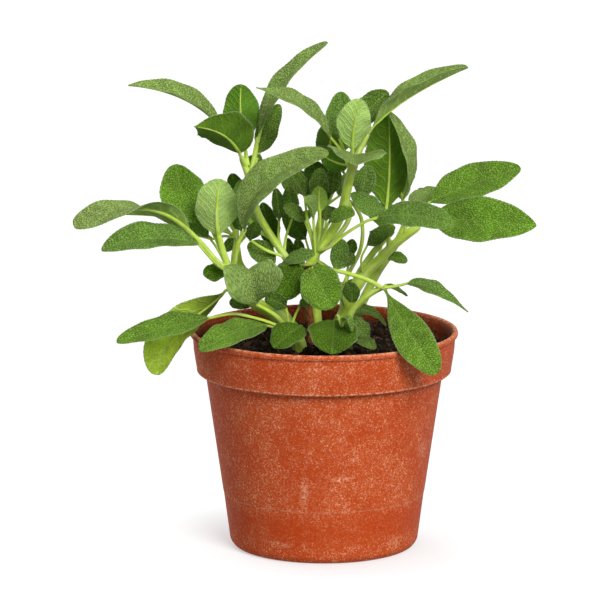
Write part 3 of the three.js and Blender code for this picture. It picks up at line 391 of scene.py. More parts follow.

# What gives a leaf its look: the colour of its upper side and of its underside, how much of the pale felt
# shows on it, from 0 to 1, and how light it is at its base, a painted shade, as a share of its lightness
# further on.
LOOKS = {
    "felted": ("#9cb65c", "#9ab654", 0.8, 0.9),
    "turned": ("#a4bc64", "#7c9a38", 0.8, 1),
    "cool": ("#7ea640", "#84a63c", 0.5, 0.9),
    "fresh": ("#82ae2c", "#90b230", 0.42, 0.9),
    "lush": ("#6c981a", "#5e8c0a", 0.15, 0.9),
    "deep": ("#56800f", "#648c08", 0.05, 0.9),
    # Bright colours that paint the light shining through the hanging leaf, and a strong painted shade on
    # its base half
    "painted_glow_and_shade": ("#9cbc24", "#b0d028", 0.1, 0.42),
    "pale": ("#9aba4c", "#9cba58", 0.6, 1),
    "dull": ("#789a38", "#769830", 0.4, 0.85),
    # Partly the colour of older leaves and partly painted shade, for small leaves in the shade of others
    "dark": ("#5c8226", "#6a9020", 0.2, 0.85),
}


def linear(hex_colour):
    """The linear colour of an sRGB hex value: c / 12.92 up to 0.04045, above it
    ((c + 0.055) / 1.055) to the power 2.4."""
    parts = [int(hex_colour[i : i + 2], 16) / 255 for i in (1, 3, 5)]
    return tuple(c / 12.92 if c <= 0.04045 else ((c + 0.055) / 1.055) ** 2.4 for c in parts)


# ---- Sizes and colours that a user may change ----


def colour_setting(name, hex_colour, description):
    default = linear(hex_colour)
    return bpy.props.FloatVectorProperty(
        name=name, description=description, subtype="COLOR", size=3, min=0, max=1, default=default
    )


def length_setting(name, millimetres, description):
    return bpy.props.FloatProperty(
        name=name, description=description, unit="LENGTH", precision=5, min=0, default=millimetres * MM
    )


def share_setting(name, share, description):
    return bpy.props.FloatProperty(
        name=name, description=description, subtype="FACTOR", min=0, max=1, default=share
    )


def count_setting(name, count, description):
    return bpy.props.IntProperty(name=name, description=description, min=0, default=count)


def light_setting(name, strength, description):
    return bpy.props.FloatProperty(name=name, description=description, min=0, default=strength)


class PotSettings(bpy.types.PropertyGroup):
    height: bpy.props.FloatProperty(
        name="Height", description="From the table to the top of the lip", unit="LENGTH", default=POT_TOP
    )
    lip_radius: length_setting("Lip radius", LIP_RADIUS, "From the pot's axis to the outside of the lip")
    plastic: colour_setting("Plastic", "#ac3a0a", "Colour of the clean plastic")
    dust: colour_setting("Dust", "#be562a", "Colour of the dusty film on the plastic")
    # The lime colour also paints the highlights along the collar and the lip
    lime: colour_setting("Lime", "#f0bf98", "Colour of the specks and scratches")
    dust_share: share_setting("Dust share", 0.48, "How much of the pot is dusty")


class SoilSettings(bpy.types.PropertyGroup):
    level: length_setting("Level", 98, "Mean height of the potting mix above the table")
    lumps: length_setting("Lumps", 1.6, "Height of the large lumps above the level")
    crumbs: count_setting("Crumbs", 1500, "Loose crumbs on the surface")
    fibres: count_setting("Fibres", 420, "Loose fibres on the surface")
    mix: colour_setting("Mix", "#1c120c", "Colour of the damp potting mix")
    fibre: colour_setting("Fibre", "#7a5a3c", "Colour of the fibres")


class PlantSettings(bpy.types.PropertyGroup):
    blade: length_setting("Blade", 0.56, "Thickness of a leaf blade")
    cushions: length_setting("Cushions", 0.3, "How far a leaf swells between its side veins")
    teeth: length_setting("Teeth", 0.3, "Depth of the small round teeth of a leaf's edge")
    pebbles: length_setting("Pebbles", 1.15, "Width of the small swellings in the net of veins")
    hair_length: length_setting("Hair length", 0.62, "Length of the hairs along edges and stems")
    hair_width: length_setting("Hair width", 0.05, "Width of a hair at its root")
    through: share_setting("Light through", 0.32, "How much light shines through a leaf")
    # The felt colour also paints the highlight along the leaf edges
    felt: colour_setting("Felt", "#b6c98c", "Colour of the felt on the leaves")
    stem: colour_setting("Stem", "#c0dc4a", "Colour of the green stems and stalks")
    bark: colour_setting("Bark", "#8c5a2e", "Colour of the woody stem")


class StageSettings(bpy.types.PropertyGroup):
    floor: length_setting("Floor", 14000, "Radius of the floor")
    key: light_setting("Key light", 3.3, "Strength of the main light")
    back: light_setting("Back light", 1.1, "Strength of the light from behind")
    sky: light_setting("Sky", 0.42, "Strength of the light from all around")


# ---- Lines and frames ----


def unit(vectors):
    """Vectors divided by their lengths."""
    return vectors / np.linalg.norm(vectors, axis=-1, keepdims=True)


def around(count):
    """Angles of a circle's even steps."""
    return np.linspace(0, 2 * np.pi, count, endpoint=False)


def run_along(path):
    """How far along a path each of its points lies."""
    return np.concatenate([[0], np.cumsum(np.linalg.norm(np.diff(path, axis=0), axis=1))])


def smoothly(value, low, high):
    """0 below low, 1 above high, and 3t² - 2t³ between them."""
    t = np.clip((value - low) / (high - low), 0, 1)
    return t * t * (3 - 2 * t)


def seen(points):
    """Places in the frame of points given as the viewer sees them: across and up on the upright plane
    through the pot's axis, and deep behind it. A point at a depth lies on the viewer's line of sight."""
    across, up, deep = np.asarray(points, float).T
    nearer = deep / VIEWER["distance"]
    x = across + (across - VIEWER["across"]) * nearer
    z = up - (VIEWER["height"] - up) * nearer
    return np.stack([x, deep, z], axis=1)


def smooth_line(points, shares):
    """Points at shares of the length of a smooth line through the given ones, and its length. Between
    p1 and p2 it is the Catmull-Rom cubic
    p1 + (p2 - p0) t/2 + (2 p0 - 5 p1 + 4 p2 - p3) t²/2 + (3 p1 - p0 - 3 p2 + p3) t³/2."""
    ends = np.vstack([2 * points[:1] - points[1:2], points, 2 * points[-1:] - points[-2:-1]])

    def at(place):
        i = np.clip(place.astype(int), 0, len(points) - 2)
        t = (place - i)[:, None]
        p0, p1, p2, p3 = ends[i], ends[i + 1], ends[i + 2], ends[i + 3]
        square = 2 * p0 - 5 * p1 + 4 * p2 - p3
        cube = 3 * p1 - p0 - 3 * p2 + p3
        return p1 + (p2 - p0) * t / 2 + square * t**2 / 2 + cube * t**3 / 2

    fine = np.linspace(0, len(points) - 1, 40 * len(points))
    run = run_along(at(fine))
    return at(np.interp(np.asarray(shares) * run[-1], run, fine)), run[-1]


def midline(leaf, share):
    """Points of a leaf's midrib at shares of it. The line goes through the given points at even steps:
    point i has as weight the product of (share·last - k) / (i - k) over the other points k."""
    points = seen(leaf.midrib)
    last = len(points) - 1
    steps = np.arange(last + 1)
    weights = [
        np.prod((share[..., None] * last - steps[steps != i]) / (i - steps[steps != i]), axis=-1)
        for i in steps
    ]
    return np.stack(weights, axis=-1) @ points


def blade_frame(leaf, share):
    """Along the midrib, across the blade and up from it, at shares of the midrib. Up is the side that
    the leaf faces, turned about the midrib by twist·sin²(90°·share), and square to the midrib."""
    along = unit(midline(leaf, share + 0.01) - midline(leaf, share - 0.01))
    turn = math.radians(leaf.twist) * np.sin(np.pi / 2 * share[..., None]) ** 2
    faces = np.broadcast_to(np.array(leaf.faces, float), along.shape)
    held = along * np.sum(along * faces, axis=-1, keepdims=True)
    turned = held + (faces - held) * np.cos(turn) + np.cross(along, faces) * np.sin(turn)
    across = unit(np.cross(along, turned))
    return along, across, np.cross(across, along)


def square_frame(path, aside):
    """Along a path, and two directions square to it: aside made square to the path, and above."""
    along = unit(np.gradient(path, axis=0))
    aside = np.broadcast_to(np.asarray(aside, float), path.shape)
    aside = unit(aside - along * np.sum(along * aside, axis=1, keepdims=True))
    return along, aside, np.cross(aside, along)


# ---- Solids ----


class Solid(NamedTuple):
    """A closed surface: points in mm, its four-sided and three-sided faces, and values at its points."""

    points: np.ndarray
    quads: np.ndarray
    tris: np.ndarray
    values: dict


def closed_rings(rings, values):
    """A closed solid through n rings of m points: four-sided faces from each ring to the next one, and
    three-sided faces to the middle of the first ring and of the last one."""
    count, columns = rings.shape[:2]
    here = np.arange((count - 1) * columns).reshape(count - 1, columns)
    beside = np.roll(here, -1, axis=1)
    quads = np.stack([here, beside, beside + columns, here + columns], axis=-1).reshape(-1, 4)
    first = np.arange(columns)
    last = first + (count - 1) * columns
    middle = np.full(columns, count * columns)
    low = np.stack([np.roll(first, -1), first, middle], axis=1)
    high = np.stack([last, np.roll(last, -1), middle + 1], axis=1)

    def with_middles(grid):
        flat = grid.reshape(-1, grid.shape[-1])
        return np.concatenate([flat, grid[:1].mean(axis=1), grid[-1:].mean(axis=1)])

    values = {name: with_middles(grid) for name, grid in values.items()}
    return Solid(with_middles(rings), quads, np.concatenate([low, high]), values)


def copies(points, quads, tris, values):
    """One solid of k like shapes: points are k by n by 3, values k by n by some, and the faces are those
    of the first shape, moved on by n for each next one."""
    count, each = points.shape[:2]
    shift = np.arange(count)[:, None, None] * each
    flat = {name: grid.reshape(-1, grid.shape[-1]) for name, grid in values.items()}
    return Solid(
        points.reshape(-1, 3), (quads + shift).reshape(-1, 4), (tris + shift).reshape(-1, 3), flat
    )


def outwards(solid):
    """The solid with its faces turned outwards: the sum of a·(b × c) over its triangles is positive."""
    halves = [solid.quads[:, [0, 1, 2]], solid.quads[:, [0, 2, 3]], solid.tris]
    a, b, c = np.moveaxis(solid.points[np.concatenate(halves)], 1, 0)
    if np.sum(a * np.cross(b, c)) > 0:
        return solid
    return solid._replace(quads=solid.quads[:, ::-1], tris=solid.tris[:, ::-1])


def tube(path, aside, above, half_width, half_height, columns, shape, values=None):
    """A closed tube along a path: the point at angle t of a ring, after a run along the path, is
    path + shape(t, run) (half_width cos t · aside + half_height sin t · above)."""
    angle = around(columns)
    run = run_along(path)
    form = shape(angle[None, :], run[:, None])[..., None]
    wide = half_width[:, None, None] * np.cos(angle)[None, :, None] * aside[:, None]
    high = half_height[:, None, None] * np.sin(angle)[None, :, None] * above[:, None]
    skin = np.stack(np.broadcast_arrays(angle[None, :] / (2 * np.pi), run[:, None]), axis=-1)
    skin = np.concatenate([skin, np.broadcast_to(half_width[:, None, None], skin.shape[:2] + (1,))], axis=2)
    grids = {"skin": skin}
    for name, rows in (values or {}).items():
        grids[name] = np.broadcast_to(rows[:, None], rows.shape[:1] + (columns,) + rows.shape[1:])
    return closed_rings(path[:, None] + form * (wide + high), grids)


def ripples(points, size, rng, waves=7):
    """Smooth random heights from -1 to 1: the mean of sines of the places along random directions, with
    wave lengths round the given size, doubled to fill the range."""
    directions = unit(rng.normal(size=(waves, points.shape[-1]))) * (2 * np.pi / size)
    directions *= rng.uniform(0.7, 1.4, size=(waves, 1))
    phases = rng.uniform(0, 2 * np.pi, size=waves)
    return np.clip(2 * np.sin(points @ directions.T + phases).mean(axis=-1), -1, 1)


def new_piece(name, solids, material, slot, *nodes):
    """Makes one mesh of the solids, with its values as attributes, hangs it on the root body and hides the
    parts of the model that it stands for.
    """
    solids = [outwards(solid) for solid in solids]
    shifts = np.cumsum([0] + [len(solid.points) for solid in solids])
    points = np.concatenate([solid.points for solid in solids]) * MM
    quads = np.concatenate([solid.quads + shift for solid, shift in zip(solids, shifts)])
    tris = np.concatenate([solid.tris + shift for solid, shift in zip(solids, shifts)])
    corners = np.concatenate([quads.ravel(), tris.ravel()])
    starts = np.concatenate([4 * np.arange(len(quads)), 4 * len(quads) + 3 * np.arange(len(tris))])
    mesh = bpy.data.meshes.new(name)
    mesh.vertices.add(len(points))
    mesh.vertices.foreach_set("co", points.ravel())
    mesh.loops.add(len(corners))
    mesh.loops.foreach_set("vertex_index", corners.astype(np.int32))
    mesh.polygons.add(len(starts))
    mesh.polygons.foreach_set("loop_start", starts.astype(np.int32))
    mesh.polygons.foreach_set("use_smooth", np.ones(len(starts), bool))
    mesh.update(calc_edges=True)
    for value in solids[0].values:
        grid = np.concatenate([solid.values[value] for solid in solids])
        kind, field = ("FLOAT_VECTOR", "vector") if grid.shape[1] == 3 else ("FLOAT_COLOR", "color")
        mesh.attributes.new(value, kind, "POINT").data.foreach_set(field, grid.astype(np.float32).ravel())
    mesh.materials.append(material)
    piece = bpy.data.objects.new(name, mesh)
    bpy.context.scene.collection.objects.link(piece)
    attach(piece, "root")
    if nodes:
        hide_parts(*nodes)
    return piece


# ---- Leaves ----

STALK_TAPER = (0.6, 0.4)  # half width of a stalk at the stem and at the blade, as shares of its width
SMALL_LEAF = (12, 0.7)  # leaves narrower than this have stalks this much thinner
TIP_WIDTH = 0.15  # least half width of a blade
TOOTH_STEP = 1.8  # from one tooth of the edge to the next
FULL_WIDTH = 16  # narrower leaves have smaller teeth and cushions
BLADE_STEPS = (0.45, 0.75)  # from one point of a blade to the next, along it and across


def blade_surface(leaf, habit, share, side, plant):
    """The middle surface of a blade, at shares of its midrib and sides from -1 to 1, and what lies there.

    With a = |side|, and s a power of share that makes the leaf widest at its belly, the half width is
    width/2 · sin(π s)^p, where p goes from the first power of the outline to the second. It is then made
    a little uneven by two slow waves, with small round teeth |sin(π run / step)|, and no slimmer than the
    stalk at the base. A point is midline + side·half·cos(fold)·across + (lift + waves)·up, where
    lift = half·(sin(fold)·(1.25 a - 0.25 a³) - roll·a²), and the waves grow as a².

    With x the distance from the midrib, the side veins lie where
    vein = (run - 0.75 x - 0.02 x²) / spacing + wander is a whole number. Between them the blade swells as
    sin²(π vein), and further out as sin²(2π vein + 1), as where a vein forks."""
    share, side = np.broadcast_arrays(share, side)
    a = np.abs(side)
    left = side < 0
    _, across, up = blade_frame(leaf, share)
    fine = np.linspace(0, 1, 60)
    lengths = run_along(midline(leaf, fine))
    run = np.interp(share, fine, lengths)
    tapered = np.clip(np.sin(np.pi * share ** (math.log(0.5) / math.log(leaf.belly))), 0, 1)
    grown = min(1, leaf.width / FULL_WIDTH)

    half = leaf.width / 2 * tapered ** (leaf.ends[0] + (leaf.ends[1] - leaf.ends[0]) * share)
    uneven = np.sin(2 * np.pi * (1.3 * share + habit[0] + 0.4 * left))
    uneven = uneven + 0.8 * np.sin(2 * np.pi * (2.7 * share + habit[7] + 0.3 * left))
    half = half * (1 + 0.03 * uneven)
    teeth = np.abs(np.sin(np.pi * run / TOOTH_STEP + 9 * habit[1] + left)) - 0.65
    half = half + plant.teeth / MM * teeth * np.sqrt(tapered) * grown
    base = leaf.stalk_width * STALK_TAPER[1]
    half = np.maximum(half, base + (TIP_WIDTH - base) * np.clip(share / 0.1, 0, 1))

    fold = math.radians(leaf.fold)
    lift = half * (math.sin(fold) * (1.25 * a - 0.25 * a**3) - leaf.roll * a**2)
    slow = np.sin(2 * np.pi * (1.2 * share + habit[2] + 0.45 * left))
    quick = np.sin(2 * np.pi * (3.3 * share + habit[3] + 0.3 * left))
    waves = a**2 * leaf.width * (0.03 * slow + 0.022 * quick) * tapered

    x = a * half
    slanted = run - 0.75 * x - 0.02 * x**2
    wander = 0.16 * np.sin(0.55 * run + 9 * habit[1]) + 0.12 * np.sin(0.9 * x + 0.31 * run + 7 * habit[3])
    spacing = max(2.4, lengths[-1] / 9)
    vein = slanted / spacing + 0.4 * left + habit[4] + wander
    window = smoothly(a, 0.03, 0.22) * (1 - smoothly(a, 0.75, 1))
    forked = 0.5 * smoothly(a, 0.35, 0.7)
    swell = (1 - forked) * np.sin(np.pi * vein) ** 2 + forked * np.sin(2 * np.pi * vein + 1) ** 2
    swell = swell * (0.7 + 0.3 * np.sin(0.8 * run + 1.1 * x + 5 * habit[2])) * window * grown

    points = midline(leaf, share)
    points = points + across * (side * half * math.cos(fold))[..., None] + up * (lift + waves)[..., None]
    place = np.stack([side * half + 97 * habit[5], slanted + 83 * habit[6], 0 * a], axis=-1)
    return points, up, swell, x, vein, place


def leaf_length(leaf):
    """Length of a leaf's midrib."""
    return run_along(midline(leaf, np.linspace(0, 1, 12)))[-1]


def blade(leaf, habit, plant):
    """The closed blade of a leaf: its middle surface moved up, and back below it moved down, by half the
    thickness·sqrt(1 - a⁶), which closes it at the edge, and both moved up by the swelling."""
    rows = int(np.clip(leaf_length(leaf) / BLADE_STEPS[0], 22, 130))
    columns = int(np.clip(leaf.width / BLADE_STEPS[1], 10, 30))
    even = np.linspace(0, 1, rows)
    share = (0.6 * even + 0.4 * (1 - np.cos(np.pi * even)) / 2)[:, None]
    turn = np.linspace(-1, 1, columns)
    over = 0.55 * turn + 0.45 * np.sin(np.pi / 2 * turn)
    side = np.concatenate([over, over[-2:0:-1]])[None]
    top = np.concatenate([[0.5], np.ones(columns - 2), [0.5], np.zeros(columns - 2)])[None]
    middle, up, swell, x, vein, place = blade_surface(leaf, habit, share, side, plant)
    a = np.abs(side)
    thick = plant.blade / MM / 2 * np.sqrt(1 - a**6) * (2 * top - 1)
    raised = plant.cushions / MM * swell * (0.3 + 0.7 * top)
    rings = middle + up * (thick + raised)[..., None]
    above, below, felt, base_shade = LOOKS[leaf.look]
    tint = np.array(linear(above)) * top[..., None] + np.array(linear(below)) * (1 - top)[..., None]
    # A tone of its own for each leaf, times a painted shade that darkens its base and fades out from a
    # quarter to two thirds of its length
    lightness = (1 + 0.12 * (habit[7] - 0.5)) * (base_shade + (1 - base_shade) * smoothly(share, 0.25, 0.65))
    tint = np.broadcast_to(tint * lightness[..., None], middle.shape)
    values = {
        "leaf_place": place,
        "leaf_form": np.stack(np.broadcast_arrays(x, vein, top, a), axis=-1),
        "leaf_colour": np.concatenate([tint, np.full(x.shape + (1,), felt)], axis=-1),
    }
    return closed_rings(rings, values)


# ---- Stalks and stems ----


def stalk_path(leaf):
    """The path of a stalk and of the midrib that goes on from it below the blade, with directions square
    to it, its half width and whether it is midrib."""
    across = blade_frame(leaf, np.zeros(1))[1][0]
    points = seen([*leaf.stalk, leaf.midrib[0]])
    count = int(np.clip(np.linalg.norm(points[0] - points[-1]) / 1.2, 6, 30))
    shares = np.linspace(0, 1, count, endpoint=False)
    stalk, _ = smooth_line(points, shares)
    width = leaf.stalk_width * (SMALL_LEAF[1] if leaf.width < SMALL_LEAF[0] else 1)
    half = width * (STALK_TAPER[0] + (STALK_TAPER[1] - STALK_TAPER[0]) * shares)
    rib_shares = np.linspace(0, 0.95, 26)
    _, rib_across, up = blade_frame(leaf, rib_shares)
    rib_half = width * STALK_TAPER[1] * (1 - rib_shares) ** 0.8 * 0.85 + 0.12
    sunk = smoothly(rib_shares, 0, 0.1) * (0.5 * rib_half + 0.05)
    rib = midline(leaf, rib_shares) - up * sunk[:, None]
    path = np.concatenate([stalk, rib])
    _, aside, _ = square_frame(path[: count + 1], across)
    aside = np.concatenate([aside[:count], rib_across])
    along = unit(np.gradient(path, axis=0))
    aside = unit(aside - along * np.sum(along * aside, axis=1, keepdims=True))
    is_rib = np.concatenate([np.zeros(count), smoothly(rib_shares, 0, 0.2)])
    return path, aside, np.cross(aside, along), np.concatenate([half, rib_half]), is_rib


def stalk_section(angle, run):
    """Round with a groove along the top: 1 - 0.28 · exp(-((t - 90°) / 29°)²)."""
    return 1 - 0.28 * np.exp(-(((angle - np.pi / 2) / 0.5) ** 2)) + 0 * run


def stem_section(angle, run):
    """Square with rounded corners, a little uneven along it: 1 + 0.08 cos 4t + 0.02 sin(run / 1.7)."""
    return 1 + 0.08 * np.cos(4 * angle) + 0.02 * np.sin(run / 1.7)


def bark_section(angle, run):
    """Round with ridges that wander along it: 1 + 0.05 sin(7 t + sin(run / 3)) + 0.04 sin(11 t + 0.6 run)
    + 0.03 sin(3 t + run / 2.3)."""
    ridges = 0.05 * np.sin(7 * angle + np.sin(run / 3)) + 0.04 * np.sin(11 * angle + 0.6 * run)
    return 1 + ridges + 0.03 * np.sin(3 * angle + run / 2.3)


def stem_points(stem):
    """A stem's points in the frame, with a foot straight below the first one if it is rooted."""
    points = seen(stem.points)
    if stem.rooted:
        foot = [points[0][0], points[0][1], STEM_FOOT]
        points = np.vstack([foot, points])
    return points


def stem_path(stem):
    """The path of a stem, two directions square to it and its half width, which goes from the first width
    to the last one and rounds off at the end."""
    points = stem_points(stem)
    length = smooth_line(points, [0, 1])[1]
    shares = np.linspace(0, 1, int(np.clip(length / 1.3, 12, 80)))
    path, _ = smooth_line(points, shares)
    half = (stem.widths[0] + (stem.widths[1] - stem.widths[0]) * shares) / 2
    half = half * np.sqrt(np.clip(1 - smoothly(shares, 0.96, 1.02) ** 2, 0.2, 1))
    _, aside, above = square_frame(path, (0, 1, 0))
    return path, aside, above, half


# ---- Hairs ----

HAIR_STEP = 0.2  # from one hair to the next along the edge of a blade


def spikes(roots, directions, lengths, width):
    """Hairs as slim pyramids: three root points at a third of a turn from each other, and a tip at
    root + length · direction."""
    directions = unit(directions)
    aside = unit(np.cross(directions, [0.31, 0.87, -0.39]))
    above = np.cross(directions, aside)
    angle = around(3)
    ring = np.cos(angle)[None, :, None] * aside[:, None] + np.sin(angle)[None, :, None] * above[:, None]
    foot = roots[:, None] + width / 2 * ring
    tip = roots[:, None] + (lengths[:, None] * directions)[:, None]
    points = np.concatenate([foot, tip], axis=1)
    tris = np.array([[0, 2, 1], [0, 1, 3], [1, 2, 3], [2, 0, 3]])
    along = np.broadcast_to(np.array([0, 0, 0, 1.0])[None, :, None], points.shape)
    return copies(points, np.zeros((0, 4), int), tris, {"hair": along})


def edge_hairs(leaf, habit, plant, rng):
    """Hairs that stand out from the edge of a blade, more or less in its plane and a little forward."""
    count = int(leaf_length(leaf) * 2 / HAIR_STEP)
    share = rng.uniform(0.01, 0.995, count)
    side = rng.choice([-1.0, 1.0], count)
    along, across, up = blade_frame(leaf, share)
    roots = blade_surface(leaf, habit, share, side * 0.99, plant)[0]
    straight = math.cos(math.radians(leaf.fold)) * side[:, None] * across
    out = straight + (0.2 + 1.3 * share[:, None] ** 6) * along + 0.3 * up
    out = out + rng.normal(size=out.shape) * 0.35
    lengths = plant.hair_length / MM * rng.uniform(0.4, 1.1, count)
    return spikes(roots, out, lengths, plant.hair_width / MM)


def skin_hairs(path, aside, above, half, plant, rng, per_mm):
    """Hairs that stand out from a stem or stalk all round, and lean a little forward."""
    count = int(run_along(path)[-1] * per_mm)
    ring = rng.integers(0, len(path) - 1, count)
    part = rng.uniform(0, 1, count)[:, None]
    angle = rng.uniform(0, 2 * np.pi, count)[:, None]
    out = np.cos(angle) * aside[ring] + np.sin(angle) * above[ring]
    middle = path[ring] * (1 - part) + path[ring + 1] * part
    forward = unit(path[ring + 1] - path[ring])
    directions = out + 0.3 * forward + rng.normal(size=out.shape) * 0.3
    lengths = plant.hair_length / MM * rng.uniform(0.3, 0.9, count)
    return spikes(middle + out * half[ring][:, None] * 0.9, directions, lengths, plant.hair_width / MM)


# ---- Pot and soil ----

POT_PROFILE = [
    # radius, height, cut: from the middle of the underside out, up, over the lip and down inside
    (20, 0, 0.3), (21, 1.5, 0.3), (38, 1.5, 0.3), (39, 0, 0.3), (43.8, 0, 0.9), (45.9, 2.6, 1.2),
    (49, 26, 0.25), (49.3, 27, 0.4), (57.8, 85.6, 0.2), (58.2, 86, 0.2), (61.3, 86, 0.25),
    (61.9, 86.6, 0.25), (62, 88, 0.4), (63.4, 97, 1), (63.8, 103.4, 0.3), (64, 103.9, 0.15),
    (65, 104, 0.35), (LIP_RADIUS, 105, 0.4), (64.8, LIP_TOP, 0.6), (63, LIP_TOP, 0.7), (62.2, 104.9, 0.7),
    (61.4, 97, 1), (59.9, 89, 0.6), (59.3, 88.3, 0.4), (56.1, 87.6, 0.4), (55.7, 86.8, 0.4),
    (44, 5.5, 1.4), (42, 3.5, 0.6),
]

# Where lime ran down and dried, and scuffs: middle and reach in mm, and how pale
POT_BLOTS = [
    ((-9.8, -51, 37), (2.6, 8, 11), 0.5), ((-9.5, -51, 41), (3, 8, 3), 0.55),
    ((9.4, -50, 43.4), (7.5, 8, 1.7), 0.5), ((7, -50.5, 43), (2, 8, 2), 0.65),
    ((-4, -63, 99.5), (5, 6, 1.2), 0.6), ((46, -22, 52), (8, 8, 6), 0.4),
    ((-22, -41, 9), (9, 9, 2), 0.4), ((34, -31, 8), (7, 7, 4), 0.35),
]

# Painted highlights round the collar's lower edge, the top of the lip and its lower edge, and wear round
# the
# ridge: height and reach in mm, and how pale
POT_EDGE_HIGHLIGHTS_AND_WEAR = [(86.5, 0.8, 0.8), (LIP_TOP, 1.2, 0.6), (103.9, 0.5, 0.5), (26.5, 0.9, 0.28)]

CLEAN_BAND = 17.5  # the height round which the body touches no other pot in a stack, and stays cleaner

SOIL_RADIUS = 60.9  # at the top, just inside the pot's wall


def rounded(corners, steps=5):
    """A profile with its corners rounded. Each corner is (radius, height, cut): it is left out, and a
    quadratic curve goes from a point cut before it to a point cut after it, towards the corner."""
    corners = np.asarray(corners, float)
    spots, cuts = corners[:, :2], corners[:, 2:]
    before, after = np.roll(spots, 1, axis=0), np.roll(spots, -1, axis=0)
    start = spots + unit(before - spots) * cuts
    end = spots + unit(after - spots) * cuts
    t = np.linspace(0, 1, steps)[None, :, None]
    curve = (1 - t) ** 2 * start[:, None] + 2 * t * (1 - t) * spots[:, None] + t**2 * end[:, None]
    kept = np.concatenate([[True], np.linalg.norm(np.diff(curve.reshape(-1, 2), axis=0), axis=1) > 1e-6])
    return curve.reshape(-1, 2)[kept]


def turned(radius, angle, height):
    """Points at radii and angles round the upright axis: (radius cos t, radius sin t, height)."""
    return np.stack(np.broadcast_arrays(radius * np.cos(angle), radius * np.sin(angle), height), axis=-1)


def pot_rings(height, lip_radius, columns=256):
    """The pot as its profile turned round the upright axis, hardly oval: 1 + 0.0016 cos(2 t + 0.7)."""
    profile = rounded(POT_PROFILE)
    profile = profile * [lip_radius / LIP_RADIUS, height / LIP_TOP]
    angle = around(columns)[None]
    radius, z = profile[:, :1], profile[:, 1:]
    radius = radius * (1 + 0.0016 * np.cos(2 * angle + 0.7) * smoothly(z, 20, 100))
    return turned(radius, angle, z)


def drill(piece, radius, circle, count):
    """Cuts round holes through the floor of the pot: a difference with one solid of upright rods."""
    angle = around(24)
    rods = []
    for turn in 2 * np.pi * (np.arange(count) + 0.5) / count:
        middle = circle * np.array([math.cos(turn), math.sin(turn)])
        ring = middle + radius * np.stack([np.cos(angle), np.sin(angle)], axis=1)
        rings = np.stack([np.column_stack([ring, np.full(len(ring), z)]) for z in (-2.0, 8.0)])
        rods.append(closed_rings(rings, {}))
    cutter = new_piece("drain_cutter", rods, piece.data.materials[0], "pot_plastic")
    cut = piece.modifiers.new("drain", "BOOLEAN")
    cut.object = cutter
    cut.solver = "EXACT"
    graph = bpy.context.evaluated_depsgraph_get()
    drilled = bpy.data.meshes.new_from_object(piece.evaluated_get(graph))
    piece.modifiers.clear()
    piece.data = drilled
    bpy.data.objects.remove(cutter)


def lumps(x, y):
    """The soil's large lumps, from -1 to 1, as sums of waves that run in three directions."""
    coarse = np.sin(0.31 * x + 0.12 * y) + np.sin(0.35 * y - 0.14 * x + 1.3)
    fine = np.sin(0.62 * x - 0.55 * y + 0.7) + np.sin(0.71 * y + 0.48 * x + 2.1)
    return (coarse + 0.7 * fine) / 3.4


def soil_height(x, y, soil):
    """Height of the soil at a place: its level, the lumps, and finer ripples of 7, 3.2 and 1.6 mm."""
    rng = np.random.default_rng(11)
    spots = np.stack([x, y], axis=-1)
    crumbly = 0.8 * ripples(spots, 7, rng) + 0.6 * ripples(spots, 3.2, rng)
    crumbly = crumbly + 0.35 * ripples(spots, 1.6, rng)
    return soil.level / MM + soil.lumps / MM * lumps(x, y) + 0.8 * crumbly


def soil_solid(soil):
    """The soil as one turned body: rings from the middle of its lumpy top to the wall, then down the
    wall and back to the middle below."""
    angle = around(220)[None]
    radius = np.linspace(0.4, SOIL_RADIUS, 100)[:, None]
    x, y = radius * np.cos(angle), radius * np.sin(angle)
    height = soil_height(x, y, soil)
    rim = soil.level / MM - soil.lumps / MM
    height = rim + (height - rim) * (1 - smoothly(radius, 56, SOIL_RADIUS))
    top = np.stack([x, y, height], axis=-1)
    sides = np.array([(60.6, 93), (59.5, 89.4), (55.4, 87.9), (43.6, 5.8), (41.7, 3.8)])
    rings = np.concatenate([top, turned(sides[:, :1], angle, sides[:, 1:])])
    return closed_rings(rings, {"soil_kind": np.zeros(rings.shape)})


def crumbs(soil, rng):
    """Crumbs on the soil: balls of 3 rings of 6 points and two poles, each point moved in or out at
    random, stretched, turned and half sunk."""
    count = soil.crumbs
    tilt = np.radians([-45, 0, 45])[:, None]
    angle = np.radians(np.arange(0, 360, 60))[None] + np.radians([0, 30, 0])[:, None]
    level = np.cos(tilt)
    ball = np.stack([level * np.cos(angle), level * np.sin(angle), np.sin(tilt) + 0 * angle], axis=-1)
    shape = closed_rings(ball, {})
    shape.points[-2:] = [[0, 0, -1], [0, 0, 1]]
    radius = SOIL_RADIUS * np.sqrt(rng.uniform(0, 1, count)) * 0.99
    turn = rng.uniform(0, 2 * np.pi, count)
    x, y = radius * np.cos(turn), radius * np.sin(turn)
    size = rng.gamma(2.2, 0.32, count) + 0.25
    points = shape.points[None] * rng.uniform(0.7, 1.15, size=(count, len(shape.points), 1))
    points = points * (rng.uniform(0.6, 1.2, size=(count, 1, 3)) * size[:, None, None])
    frames = np.linalg.qr(rng.normal(size=(count, 3, 3)))[0]
    frames[:, :, 0] *= np.sign(np.linalg.det(frames))[:, None]
    points = points @ frames
    points = points + np.stack([x, y, soil_height(x, y, soil) + 0.25 * size], axis=1)[:, None]
    reach = np.maximum(np.linalg.norm(points[..., :2], axis=-1, keepdims=True), 1e-6)
    points[..., :2] *= np.minimum(1, (SOIL_RADIUS - 0.2) / reach)
    kind = np.broadcast_to(rng.uniform(0.05, 0.45, size=(count, 1, 1)), points.shape)
    return copies(points, shape.quads, shape.tris, {"soil_kind": kind})


